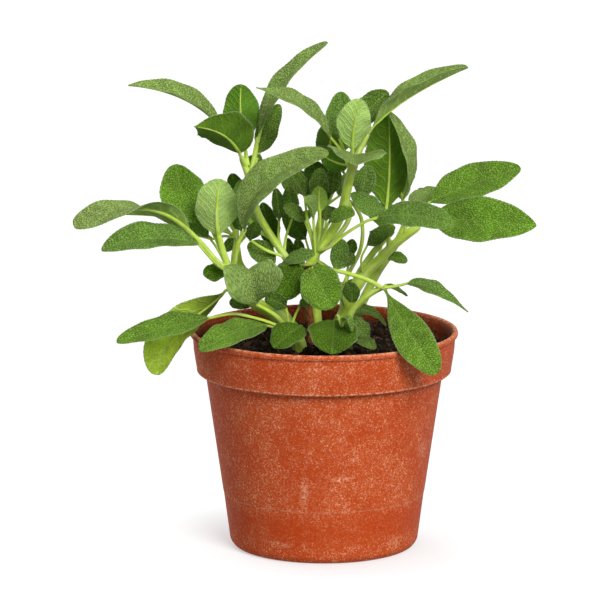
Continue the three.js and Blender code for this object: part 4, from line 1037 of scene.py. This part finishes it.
def fibres(soil, rng):
    """Fibres on the soil: three-sided tubes of 6 rings along a parabola, root + length·t·forward +
    bend·t(1 - t)·aside, with a rise and fall of their own."""
    count, rings = soil.fibres, 6
    radius = SOIL_RADIUS * np.sqrt(rng.uniform(0, 1, count)) * 0.95
    turn = rng.uniform(0, 2 * np.pi, count)
    heading = rng.uniform(0, 2 * np.pi, count)
    length = rng.uniform(2.5, 9, count)
    bend = rng.normal(0, 1.6, count)
    t = np.linspace(-0.5, 0.5, rings)[None]
    forward = np.stack([np.cos(heading), np.sin(heading)], axis=1)[:, None]
    aside = np.stack([-np.sin(heading), np.cos(heading)], axis=1)[:, None]
    spot = (radius[:, None] * np.stack([np.cos(turn), np.sin(turn)], axis=1))[:, None]
    flat = spot + (length[:, None] * t)[..., None] * forward
    flat = flat + (bend[:, None] * (0.25 - t**2))[..., None] * aside
    reach = np.linalg.norm(flat, axis=-1, keepdims=True)
    flat = flat * np.minimum(1, (SOIL_RADIUS - 0.5) / reach)
    rise = rng.uniform(0.1, 0.9, count)[:, None] + rng.normal(0, 0.7, count)[:, None] * t
    z = soil_height(flat[..., 0], flat[..., 1], soil) + np.maximum(rise, 0.05)
    path = np.concatenate([flat, z[..., None]], axis=-1)
    angle = np.radians([90, 210, 330])[None, None]
    thick = rng.uniform(0.1, 0.26, count)[:, None, None] * np.sqrt(1.02 - (2 * t[..., None]) ** 2)
    level = thick[..., None] * np.cos(angle)[..., None] * aside[:, None]
    upward = thick * np.sin(angle)
    points = path[:, :, None] + np.concatenate([level, upward[..., None]], axis=-1)
    shape = closed_rings(points[0], {})
    middles = np.stack([path[:, 0], path[:, -1]], axis=1)
    points = np.concatenate([points.reshape(count, -1, 3), middles], axis=1)
    kind = np.broadcast_to(rng.uniform(0.6, 1, size=(count, 1, 1)), points.shape)
    return copies(points, shape.quads, shape.tris, {"soil_kind": kind})


# ---- Materials ----


SMOOTH = {"interpolation_type": "SMOOTHSTEP"}
COLOURS = {"data_type": "RGBA"}
PAPER_WHITE = 1.1  # light that the paper and the studio behind it send to the camera


def add(owner, kind, inputs=(), operation=None, **settings):
    """Adds a node of this kind to a material or world, with its operation and settings. Inputs, in order or
    by name or number, are values, or else outputs of other nodes, which are linked; a node stands for its
    first output. A Mix node takes its share as input 0, two numbers as 2 and 3, and two colours as 6
    and 7. A MapRange node takes a value, the range it comes from and the range it goes to."""
    tree = owner.node_tree
    made = tree.nodes.new("ShaderNode" + kind)
    if operation:
        made.operation = operation
    for name, value in settings.items():
        setattr(made, name, value)
    for name, value in inputs.items() if isinstance(inputs, dict) else enumerate(inputs):
        if isinstance(value, bpy.types.Node):
            value = next(output for output in value.outputs if output.enabled)
        if isinstance(value, bpy.types.NodeSocket):
            tree.links.new(value, made.inputs[name])
        else:
            made.inputs[name].default_value = value
    return made


def empty_nodes(owner):
    """The material or world, with no nodes yet."""
    owner.use_nodes = True
    owner.node_tree.nodes.clear()
    return owner


def rgba(colour):
    """The colour as a node takes it, opaque."""
    return (*colour, 1)


def felted_leaf(plant):
    """Sage leaf: soft living tissue under a felt of short white hairs. It grows in small cushions
    between a net of sunken veins, so it looks matt, finely pebbled and greyish above, paler and veined
    below, and light shines through it warm and green."""
    material = empty_nodes(bpy.data.materials.new("felted_sage_leaf"))
    place = add(material, "Attribute", attribute_name="leaf_place")
    form = add(material, "Attribute", attribute_name="leaf_form")
    colour = add(material, "Attribute", attribute_name="leaf_colour")
    parts = add(material, "SeparateXYZ", {0: form.outputs["Vector"]})
    from_midrib, vein, top = parts.outputs
    to_edge, felt = form.outputs["Alpha"], colour.outputs["Alpha"]
    coordinates = add(material, "TexCoord").outputs["Object"]

    # The net of fine veins: cells as wide as the pebbles, in mm of the blade, a little shaken
    shaken = add(material, "TexNoise", {"Vector": place.outputs["Vector"], "Scale": 0.9, "Detail": 1})
    shift = add(material, "VectorMath", (shaken.outputs["Color"], (0.7, 0.7, 0)), "MULTIPLY")
    spot = add(material, "VectorMath", (place.outputs["Vector"], shift), "ADD")
    cells = add(
        material, "TexVoronoi", {"Vector": spot, "Scale": MM / plant.pebbles},
        voronoi_dimensions="2D", feature="DISTANCE_TO_EDGE",
    )
    pebble = add(material, "MapRange", (cells, 0.03, 0.3), **SMOOTH)
    fluff = add(material, "TexNoise", {"Vector": coordinates, "Scale": 2600, "Detail": 2, "Roughness": 0.7})
    patches = add(material, "TexNoise", {"Vector": coordinates, "Scale": 110, "Detail": 3})

    # Side veins where vein is near a whole number, and the midrib where the place is near it
    near = add(material, "Math", (vein, 0.5), "PINGPONG")
    side_vein = add(material, "MapRange", (near, 0.17, 0.03), **SMOOTH)
    midrib = add(material, "MapRange", (from_midrib, 0.75, 0.25), **SMOOTH)
    edge = add(material, "MapRange", (to_edge, 0.92, 0.99), **SMOOTH)

    # Colour: light and dark patches, painted shade in the grooves between the pebbles above, and felt on
    # the pebbles
    shade = add(material, "MapRange", (patches, 0.3, 0.7, 0.8, 1.22))
    base = add(material, "HueSaturation", {"Value": shade, "Color": colour.outputs["Color"]})
    # Painted shade: the grooves between the pebbles are darkened to about a third of the leaf's colour
    deep = add(material, "HueSaturation", {"Value": 0.36, "Saturation": 1.1, "Color": base})
    smooth_below = add(material, "Mix", {0: top, 2: 1.0, 3: pebble})
    netted = add(material, "Mix", {0: smooth_below, 6: deep, 7: base}, **COLOURS)
    felt_side = add(material, "MapRange", (top, 0, 1, 0.3, 1.0))
    felt_here = add(material, "Math", (felt_side, felt), "MULTIPLY")
    felt_here = add(material, "Math", (felt_here, pebble), "MULTIPLY")
    fluffy = add(material, "MapRange", (fluff, 0.35, 0.7, 0.25, 0.85))
    felt_seen = add(material, "Math", (felt_here, fluffy), "MULTIPLY")
    felted = add(material, "Mix", {0: felt_seen, 6: netted, 7: rgba(plant.felt)}, **COLOURS)

    # Veins, clearer below: the side veins and the net, paler than the leaf, the midrib, and the edge, pale
    # with felt and with a painted highlight of its hairs
    side_strength = add(material, "MapRange", (top, 0, 1, 0.85, 0.2))
    side_seen = add(material, "Math", (side_vein, side_strength), "MULTIPLY")
    net = add(material, "MapRange", (pebble, 0.7, 0, 0, 0.7))
    only_below = add(material, "MapRange", (top, 0, 1, 1, 0))
    net_seen = add(material, "Math", (net, only_below), "MULTIPLY")
    vein_seen = add(material, "Math", (side_seen, net_seen), "MAXIMUM")
    vein_felt = add(material, "MapRange", (felt, 0.0, 0.6, 0.6, 1.0))
    vein_seen = add(material, "Math", (vein_seen, vein_felt), "MULTIPLY")
    paler = add(material, "HueSaturation", {"Value": 1.75, "Saturation": 0.8, "Color": base})
    veined = add(material, "Mix", {0: vein_seen, 6: felted, 7: paler}, **COLOURS)
    rib_strength = add(material, "MapRange", (top, 0, 1, 0.42, 0.24))
    rib_seen = add(material, "Math", (midrib, rib_strength), "MULTIPLY")
    ribbed = add(material, "Mix", {0: rib_seen, 6: veined, 7: rgba(linear("#a8c45c"))}, **COLOURS)
    # The edge is paler with felt, and with a painted highlight for the light that its hairs catch
    edge_felt_and_highlight = add(material, "Math", (edge, 0.6), "MULTIPLY")
    felt_and_highlight_edged = add(material, "Mix", {0: edge_felt_and_highlight, 6: ribbed, 7: rgba(plant.felt)}, **COLOURS)

    # Relief: pebbles above, side veins raised below and sunken above, and the fluff of the felt
    relief = add(material, "MapRange", (top, 0, 1, 0.7, -0.6))
    vein_relief = add(material, "Math", (side_vein, relief), "MULTIPLY")
    pebble_relief = add(material, "MapRange", (top, 0, 1, 0.35, 1.0))
    pebbled = add(material, "Math", (pebble, pebble_relief), "MULTIPLY")
    height = add(material, "Math", (vein_relief, pebbled), "ADD")
    height = add(material, "Math", (fluff, 0.35, height), "MULTIPLY_ADD")
    firm = add(material, "MapRange", (felt, 0, 1, 0.95, 0.55))
    bump = add(material, "Bump", {"Strength": firm, "Distance": 0.00042, "Height": height})

    surface = add(
        material, "BsdfPrincipled",
        {
            "Base Color": felt_and_highlight_edged, "Roughness": 0.8, "IOR": 1.42, "Specular IOR Level": 0.06,
            "Sheen Weight": 0.05, "Sheen Roughness": 0.5, "Sheen Tint": rgba(linear("#dfe8b8")),
            "Normal": bump,
        },
    )
    glow = add(material, "HueSaturation", {"Value": 1.5, "Saturation": 1.25, "Color": base})
    through = add(material, "BsdfTranslucent", {"Color": glow, "Normal": bump})
    mixed = add(material, "MixShader", {0: plant.through, 1: surface, 2: through})
    add(material, "OutputMaterial", {"Surface": mixed})
    return material


def green_stem():
    """Young sage stem: soft and juicy, square with rounded corners, under short white down. It looks
    bright yellow-green and satiny, with pale streaks along it."""
    material = empty_nodes(bpy.data.materials.new("green_sage_stem"))
    skin = add(material, "Attribute", attribute_name="skin")
    tint = add(material, "Attribute", attribute_name="stem_colour")
    coordinates = add(material, "TexCoord").outputs["Object"]
    stretched = add(material, "VectorMath", (skin.outputs["Vector"], (7, 0.09, 3)), "MULTIPLY")
    streaks = add(material, "TexNoise", {"Vector": stretched, "Scale": 1, "Detail": 3, "Roughness": 0.6})
    streak = add(material, "MapRange", (streaks, 0.5, 0.68), **SMOOTH)
    patches = add(material, "TexNoise", {"Vector": coordinates, "Scale": 160, "Detail": 2})
    shade = add(material, "MapRange", (patches, 0.3, 0.7, 0.82, 1.15))
    base = add(material, "HueSaturation", {"Value": shade, "Color": tint.outputs["Color"]})
    streak_seen = add(material, "Math", (streak, 0.65), "MULTIPLY")
    colour = add(material, "Mix", {0: streak_seen, 6: base, 7: rgba(linear("#d8e2a6"))}, **COLOURS)
    down = add(material, "TexNoise", {"Vector": coordinates, "Scale": 2400, "Detail": 2})
    height = add(material, "Math", (streaks, 1.5, down), "MULTIPLY_ADD")
    bump = add(material, "Bump", {"Strength": 0.5, "Distance": 0.00025, "Height": height})
    surface = add(
        material, "BsdfPrincipled",
        {
            "Base Color": colour, "Roughness": 0.55, "IOR": 1.42, "Specular IOR Level": 0.35,
            "Sheen Weight": 0.2, "Sheen Roughness": 0.5, "Sheen Tint": rgba(linear("#eef2dc")),
            "Normal": bump,
        },
    )
    through = add(material, "BsdfTranslucent", {"Color": colour})
    mixed = add(material, "MixShader", {0: 0.2, 1: surface, 2: through})
    add(material, "OutputMaterial", {"Surface": mixed})
    return material


def white_hair():
    """Plant hair: clear and hollow, so it looks whitish with a green cast and lets light through."""
    material = empty_nodes(bpy.data.materials.new("white_plant_hair"))
    along = add(material, "Attribute", attribute_name="hair")
    root, tip = rgba(linear("#b9cb94")), rgba(linear("#eef2e2"))
    colour = add(material, "Mix", {0: along.outputs["Fac"], 6: root, 7: tip}, **COLOURS)
    surface = add(
        material, "BsdfPrincipled", {"Base Color": colour, "Roughness": 0.6, "Specular IOR Level": 0.3}
    )
    through = add(material, "BsdfTranslucent", {"Color": colour})
    mixed = add(material, "MixShader", {0: 0.45, 1: surface, 2: through})
    add(material, "OutputMaterial", {"Surface": mixed})
    return material


def young_bark(plant):
    """Bark of a one-year stem: thin, dry and corky, split lengthwise as the stem grew, so it looks dull
    orange-brown with darker cracks."""
    material = empty_nodes(bpy.data.materials.new("young_sage_bark"))
    skin = add(material, "Attribute", attribute_name="skin")
    coordinates = add(material, "TexCoord").outputs["Object"]
    stretched = add(material, "VectorMath", (skin.outputs["Vector"], (9, 0.35, 1)), "MULTIPLY")
    cracks = add(material, "TexNoise", {"Vector": stretched, "Scale": 1, "Detail": 4, "Roughness": 0.65})
    crack = add(material, "MapRange", (cracks, 0.38, 0.56), **SMOOTH)
    grain = add(material, "TexNoise", {"Vector": coordinates, "Scale": 900, "Detail": 3})
    shade = add(material, "MapRange", (grain, 0.3, 0.7, 0.75, 1.25))
    base = add(material, "HueSaturation", {"Value": shade, "Color": rgba(plant.bark)})
    colour = add(material, "Mix", {0: crack, 6: rgba(linear("#4d2c17")), 7: base}, **COLOURS)
    bump = add(material, "Bump", {"Strength": 0.8, "Distance": 0.0004, "Height": cracks})
    surface = add(
        material, "BsdfPrincipled",
        {"Base Color": colour, "Roughness": 0.88, "Specular IOR Level": 0.2, "Normal": bump},
    )
    add(material, "OutputMaterial", {"Surface": surface})
    return material


def potting_mix(soil):
    """Potting mix: peat, bark crumbs and fibres, screened and damp, so it looks nearly black and dull in
    its hollows, brown on its crumbs, and light brown on its dry fibres."""
    material = empty_nodes(bpy.data.materials.new("damp_potting_mix"))
    kind = add(material, "Attribute", attribute_name="soil_kind")
    coordinates = add(material, "TexCoord").outputs["Object"]
    grain = add(material, "TexNoise", {"Vector": coordinates, "Scale": 700, "Detail": 4, "Roughness": 0.7})
    shade = add(material, "MapRange", (grain, 0.3, 0.7, 0.5, 1.6))
    damp = add(material, "HueSaturation", {"Value": shade, "Color": rgba(soil.mix)})
    dry = add(material, "HueSaturation", {"Value": shade, "Color": rgba(soil.fibre)})
    share = add(material, "MapRange", (kind.outputs["Fac"], 0.2, 1.0))
    colour = add(material, "Mix", {0: share, 6: damp, 7: dry}, **COLOURS)
    bump = add(material, "Bump", {"Strength": 0.9, "Distance": 0.0005, "Height": grain})
    surface = add(
        material, "BsdfPrincipled",
        {"Base Color": colour, "Roughness": 0.92, "Specular IOR Level": 0.15, "Normal": bump},
    )
    add(material, "OutputMaterial", {"Surface": surface})
    return material


def weathered_plastic(pot):
    """Pot of polypropylene coloured like terracotta, injection moulded with a fine matt skin and used for
    years: clean it is a saturated orange-brown, and dust, lime specks and scratches make it pinkish,
    pale-speckled and dull. Pale lines run round its edges: wear on the ridge, and painted highlights on
    the collar's lower edge and on the lip."""
    material = empty_nodes(bpy.data.materials.new("weathered_polypropylene"))
    coordinates = add(material, "TexCoord").outputs["Object"]
    height = add(material, "SeparateXYZ", {0: coordinates}).outputs[2]

    # The dusty film: cloudy patches of 5 to 20 mm, broken up by a grain of 1 mm
    clouds = add(material, "TexNoise", {"Vector": coordinates, "Scale": 48, "Detail": 6, "Roughness": 0.68})
    grain = add(material, "TexNoise", {"Vector": coordinates, "Scale": 900, "Detail": 2, "Roughness": 0.6})
    film = add(material, "MapRange", (clouds, 0.38, 0.62), **SMOOTH)
    broken = add(material, "MapRange", (grain, 0.4, 0.6), **SMOOTH)
    dust = add(material, "Math", (broken, 0.55, 0.25), "MULTIPLY_ADD")
    more = add(material, "Math", (film, 0.75, 0.3), "MULTIPLY_ADD")
    dust = add(material, "Math", (dust, more), "MULTIPLY")
    dust = add(material, "Math", (dust, 2 * pot.dust_share), "MULTIPLY")

    # The band between the ridge and the foot stays cleaner
    off_band = add(material, "Math", (height, CLEAN_BAND * MM), "SUBTRACT")
    off_band = add(material, "Math", (off_band,), "ABSOLUTE")
    soiled = add(material, "MapRange", (off_band, 0.003, 0.011, 0.42, 1.0))
    dust = add(material, "Math", (dust, soiled), "MULTIPLY")
    dusty = add(material, "Mix", {0: dust, 6: rgba(pot.plastic), 7: rgba(pot.dust)}, **COLOURS)

    # Marks that the lime draws round drops: the level lines of a noise, 1 to 3 mm from each other
    lines = add(material, "TexNoise", {"Vector": coordinates, "Scale": 760, "Detail": 1, "Roughness": 0.5})
    level = add(material, "Math", (lines, 0.53), "SUBTRACT")
    level = add(material, "Math", (level,), "ABSOLUTE")
    thin = add(material, "MapRange", (level, 0.03, 0.012), **SMOOTH)
    spread = add(
        material, "TexNoise", {"Vector": coordinates, "Scale": 200, "Detail": 3, "W": 3.0},
        noise_dimensions="4D",
    )
    here_and_there = add(material, "MapRange", (spread, 0.44, 0.62, 0.16, 0.6))
    drop_lines = add(material, "Math", (thin, here_and_there), "MULTIPLY")

    # Lime specks of 0.2 to 0.6 mm: the middles of some cells, of a size of their own
    shake = add(material, "TexNoise", {"Vector": coordinates, "Scale": 1800, "Detail": 1})
    shift = add(material, "VectorMath", (shake.outputs["Color"], (0.0008,) * 3), "MULTIPLY")
    spot = add(material, "VectorMath", (coordinates, shift), "ADD")
    cells = add(material, "TexVoronoi", {"Vector": spot, "Scale": 1350})
    chance = add(material, "SeparateColor", {0: cells.outputs["Color"]})
    size = add(material, "MapRange", (chance, 0.2, 1.0, 0.0, 0.55))
    speck = add(material, "Math", (size, cells), "SUBTRACT")
    speck = add(material, "MapRange", (speck, 0.0, 0.08), **SMOOTH)
    strength = add(material, "MapRange", (chance.outputs[1], 0.0, 1.0, 0.05, 0.62))
    specks = add(material, "Math", (speck, strength), "MULTIPLY")

    # Both are denser where the film is, and blots, wear and painted edge highlights, broken up by the
    # grain, come on top
    marks = add(material, "Math", (specks, drop_lines), "MAXIMUM")
    patchy = add(material, "MapRange", (film, 0, 1, 0.62, 1.06))
    marks = add(material, "Math", (marks, patchy), "MULTIPLY")
    marks = add(material, "Math", (marks, soiled), "MULTIPLY")
    for middle, reach, depth in POT_BLOTS:
        away = add(material, "VectorMath", (coordinates, [place * MM for place in middle]), "SUBTRACT")
        away = add(material, "VectorMath", (away, [size * MM for size in reach]), "DIVIDE")
        away = add(material, "VectorMath", (away,), "LENGTH")
        blot = add(material, "MapRange", (away, 1.0, 0.2, 0.0, depth))
        rough_edge = add(material, "Math", (blot, broken), "MULTIPLY")
        marks = add(material, "Math", (marks, rough_edge), "MAXIMUM")
    # Painted highlights along the collar's lower edge and the lip's two edges, and real wear on the ridge,
    # in the lime colour
    for ring, reach, depth in POT_EDGE_HIGHLIGHTS_AND_WEAR:
        from_ring = add(material, "Math", (height, ring * MM), "SUBTRACT")
        from_ring = add(material, "Math", (from_ring,), "ABSOLUTE")
        ringed = add(material, "MapRange", (from_ring, reach * MM, 0.0, 0.0, depth))
        highlight_and_wear = add(material, "Math", (ringed, broken), "MULTIPLY")
        marks = add(material, "Math", (marks, highlight_and_wear), "MAXIMUM")
    colour = add(material, "Mix", {0: marks, 6: dusty, 7: rgba(pot.lime)}, **COLOURS)

    # Soil that dried on the inner wall, less towards the lip: radius - 0.14 · height is less there than
    # on the collar outside, since the walls lean by that much
    level_spot = add(material, "VectorMath", (coordinates, (1, 1, 0)), "MULTIPLY")
    radius = add(material, "VectorMath", (level_spot,), "LENGTH")
    unleaned = add(material, "Math", (height, -0.14, radius), "MULTIPLY_ADD")
    inside = add(material, "MapRange", (unleaned, 0.0489, 0.0484))
    above_soil = add(material, "MapRange", (height, 0.09, 0.091))
    inside = add(material, "Math", (inside, above_soil), "MULTIPLY")
    up_wall = add(material, "MapRange", (height, 0.1066, 0.1, 0.2, 1.0))
    smears = add(material, "MapRange", (clouds, 0.3, 0.6, 0.45, 1.0))
    dirt = add(material, "Math", (inside, up_wall), "MULTIPLY")
    dirt = add(material, "Math", (dirt, smears), "MULTIPLY")
    colour = add(material, "Mix", {0: dirt, 6: colour, 7: rgba(linear("#3a2213"))}, **COLOURS)
    rough = add(material, "MapRange", (dust, 0, 1, 0.5, 0.8))
    relief = add(material, "Math", (marks, 1.2, grain), "MULTIPLY_ADD")
    bump = add(material, "Bump", {"Strength": 0.35, "Distance": 0.00012, "Height": relief})
    surface = add(
        material, "BsdfPrincipled",
        {"Base Color": colour, "Roughness": rough, "IOR": 1.49, "Specular IOR Level": 0.05, "Normal": bump},
    )
    add(material, "OutputMaterial", {"Surface": surface})
    return material


def white_paper():
    """White paper on a table, matt and lit until it is plain white: its shade shows only near the pot."""
    material = empty_nodes(bpy.data.materials.new("white_paper"))
    coordinates = add(material, "TexCoord").outputs["Object"]
    fibre = add(material, "TexNoise", {"Vector": coordinates, "Scale": 300, "Detail": 2})
    shade = add(material, "MapRange", (fibre, 0, 1, 0.81, 0.83))
    away = add(material, "VectorMath", (coordinates,), "LENGTH")
    washed_out = add(material, "MapRange", (away, 0.046, 0.1, 0.42, 0.97))
    paper = add(material, "BsdfDiffuse", {"Color": shade})
    lit = add(material, "Emission", {"Color": rgba((1, 1, 1)), "Strength": PAPER_WHITE})
    mixed = add(material, "MixShader", {0: washed_out, 1: paper, 2: lit})
    add(material, "OutputMaterial", {"Surface": mixed})
    return material


# ---- Operators ----

FLOOR_DROP = 0.0002  # how far below the pot's foot the floor lies


def habit_of(shoot, number):
    """Random numbers of its own for each leaf, the same in each run."""
    return np.random.default_rng([list(SHOOTS).index(shoot), number]).uniform(size=8)


def tinted(colour, is_rib):
    """The colour of each ring of a stem or stalk, with how much it is midrib beside it."""
    return np.column_stack([np.tile(colour, (len(is_rib), 1)), is_rib])


class SAGE_OT_pot(bpy.types.Operator):
    """Makes the pot: a turned shell with a collar, a lip, a foot and drain holes"""

    bl_idname = "sage.make_pot"
    bl_label = "Make pot"

    def execute(self, context):
        pot = context.scene.sage_pot
        rings = pot_rings(pot.height / MM, pot.lip_radius / MM)
        shell = closed_rings(rings, {})
        piece = new_piece("pot_shell", [shell], weathered_plastic(pot), "pot_plastic", "pot")
        drill(piece, radius=4, circle=28, count=6)
        return {"FINISHED"}


class SAGE_OT_soil(bpy.types.Operator):
    """Makes the potting mix: a lumpy body, with loose crumbs and fibres on it"""

    bl_idname = "sage.make_soil"
    bl_label = "Make soil"

    def execute(self, context):
        soil = context.scene.sage_soil
        rng = np.random.default_rng(5)
        material = potting_mix(soil)
        new_piece("soil_bed", [soil_solid(soil)], material, "soil", "soil")
        new_piece("soil_crumbs", [crumbs(soil, rng), fibres(soil, rng)], material, "soil", "soil")
        return {"FINISHED"}


class SAGE_OT_woody_stem(bpy.types.Operator):
    """Makes the forked woody stem, with ridged bark"""

    bl_idname = "sage.make_woody_stem"
    bl_label = "Make woody stem"

    def execute(self, context):
        plant = context.scene.sage_plant
        solids = []
        for stem in WOOD:
            path, aside, above, half = stem_path(stem)
            solids.append(tube(path, aside, above, half, half, 36, bark_section))
        new_piece("woody_stem_bark", solids, young_bark(plant), "woody_stem", "woody_stem")
        return {"FINISHED"}


class SAGE_OT_stems(bpy.types.Operator):
    """Makes the green stems, the leaf stalks and the midribs of every shoot"""

    bl_idname = "sage.make_stems"
    bl_label = "Make stems and stalks"

    def execute(self, context):
        plant = context.scene.sage_plant
        material = green_stem()
        for shoot, (stems, leaves) in SHOOTS.items():
            solids = []
            for stem in stems:
                path, aside, above, half = stem_path(stem)
                values = {"stem_colour": tinted(plant.stem, np.zeros(len(path)))}
                solids.append(tube(path, aside, above, half, half, 16, stem_section, values))
            for leaf in leaves:
                path, aside, above, half, is_rib = stalk_path(leaf)
                values = {"stem_colour": tinted(plant.stem, is_rib)}
                solids.append(tube(path, aside, above, half, 0.72 * half, 12, stalk_section, values))
            new_piece(f"{shoot}_stems", solids, material, "leaf", shoot)
        return {"FINISHED"}


class SAGE_OT_leaves(bpy.types.Operator):
    """Makes the leaf blades of every shoot, with toothed edges and cushions between the veins"""

    bl_idname = "sage.make_leaves"
    bl_label = "Make leaves"

    def execute(self, context):
        plant = context.scene.sage_plant
        material = felted_leaf(plant)
        for shoot, (_, leaves) in SHOOTS.items():
            blades = [blade(leaf, habit_of(shoot, i), plant) for i, leaf in enumerate(leaves)]
            new_piece(f"{shoot}_leaves", blades, material, "leaf", shoot)
        return {"FINISHED"}


class SAGE_OT_hairs(bpy.types.Operator):
    """Makes the fine hairs along the leaf edges, stalks and stems of every shoot"""

    bl_idname = "sage.make_hairs"
    bl_label = "Make hairs"

    def execute(self, context):
        plant = context.scene.sage_plant
        material = white_hair()
        rng = np.random.default_rng(7)
        for shoot, (stems, leaves) in SHOOTS.items():
            hairs = [skin_hairs(*stem_path(stem), plant, rng, per_mm=6) for stem in stems]
            for i, leaf in enumerate(leaves):
                hairs.append(skin_hairs(*stalk_path(leaf)[:4], plant, rng, per_mm=3))
                hairs.append(edge_hairs(leaf, habit_of(shoot, i), plant, rng))
            new_piece(f"{shoot}_hairs", hairs, material, "leaf", shoot)
        return {"FINISHED"}


class SAGE_OT_stage(bpy.types.Operator):
    """Makes the white floor, the soft light and the camera of the photo"""

    bl_idname = "sage.make_stage"
    bl_label = "Make stage"

    def execute(self, context):
        stage = context.scene.sage_stage
        angle = around(64)
        disc = stage.floor * np.column_stack([np.cos(angle), np.sin(angle), 0 * angle])
        mesh = bpy.data.meshes.new("floor")
        mesh.from_pydata(disc - [0, 0, FLOOR_DROP], [], [range(len(disc))])
        mesh.materials.append(white_paper())
        floor = bpy.data.objects.new("floor", mesh)
        floor.visible_diffuse = False
        context.scene.collection.objects.link(floor)

        lights = [("key", (0.34, -0.78, 0.6), stage.key, 30), ("back", (-0.5, 0.8, 0.5), stage.back, 50)]
        for name, place, strength, softness in lights:
            lamp = bpy.data.lights.new(name, "SUN")
            lamp.energy = strength
            lamp.angle = math.radians(softness)
            light = bpy.data.objects.new(name, lamp)
            light.rotation_euler = Vector(place).to_track_quat("Z", "Y").to_euler()
            context.scene.collection.objects.link(light)

        world = empty_nodes(bpy.data.worlds.new("white_studio"))
        seen_by_camera = add(world, "LightPath").outputs["Is Camera Ray"]
        strength = add(world, "MapRange", (seen_by_camera, 0, 1, stage.sky, PAPER_WHITE))
        background = add(world, "Background", {"Color": rgba((1, 1, 1)), "Strength": strength})
        add(world, "OutputWorld", {"Surface": background})
        context.scene.world = world
        context.scene.view_settings.view_transform = "Standard"

        lens = bpy.data.cameras.new("photo_camera")
        lens.sensor_width = VIEWER["picture"]
        lens.lens = VIEWER["lens"]
        lens.clip_end = 60
        camera = bpy.data.objects.new("photo_camera", lens)
        camera.location = (VIEWER["across"] * MM, -VIEWER["distance"] * MM, VIEWER["height"] * MM)
        camera.rotation_euler = (math.radians(90 - VIEWER["down"]), 0, 0)
        context.scene.collection.objects.link(camera)
        context.scene.camera = camera
        return {"FINISHED"}


class SAGE_PT_panel(bpy.types.Panel):
    """Lists what makes the potted sage, and its sizes and colours"""

    bl_idname = "SAGE_PT_panel"
    bl_label = "Potted sage"
    bl_space_type = "VIEW_3D"
    bl_region_type = "UI"
    bl_category = "Potted sage"

    def draw(self, context):
        for operator in OPERATORS:
            self.layout.operator(operator.bl_idname)
        for group in SETTINGS:
            settings = getattr(context.scene, group)
            for name in settings.bl_rna.properties.keys():
                if name not in ("rna_type", "name"):
                    self.layout.prop(settings, name)


OPERATORS = [
    SAGE_OT_pot, SAGE_OT_soil, SAGE_OT_woody_stem,
    SAGE_OT_stems, SAGE_OT_leaves, SAGE_OT_hairs, SAGE_OT_stage,
]
SETTINGS = {
    "sage_pot": PotSettings,
    "sage_soil": SoilSettings,
    "sage_plant": PlantSettings,
    "sage_stage": StageSettings,
}


def register():
    for settings in SETTINGS.values():
        bpy.utils.register_class(settings)
    for group, settings in SETTINGS.items():
        setattr(bpy.types.Scene, group, bpy.props.PointerProperty(type=settings))
    for operator in OPERATORS:
        bpy.utils.register_class(operator)
    bpy.utils.register_class(SAGE_PT_panel)


def unregister():
    bpy.utils.unregister_class(SAGE_PT_panel)
    for operator in reversed(OPERATORS):
        bpy.utils.unregister_class(operator)
    for group, settings in SETTINGS.items():
        delattr(bpy.types.Scene, group)
        bpy.utils.unregister_class(settings)


def main():
    register()
    bpy.ops.sage.make_pot()
    bpy.ops.sage.make_soil()
    bpy.ops.sage.make_woody_stem()
    bpy.ops.sage.make_stems()
    bpy.ops.sage.make_leaves()
    bpy.ops.sage.make_hairs()
    bpy.ops.sage.make_stage()


if __name__ == "__main__":
    main()
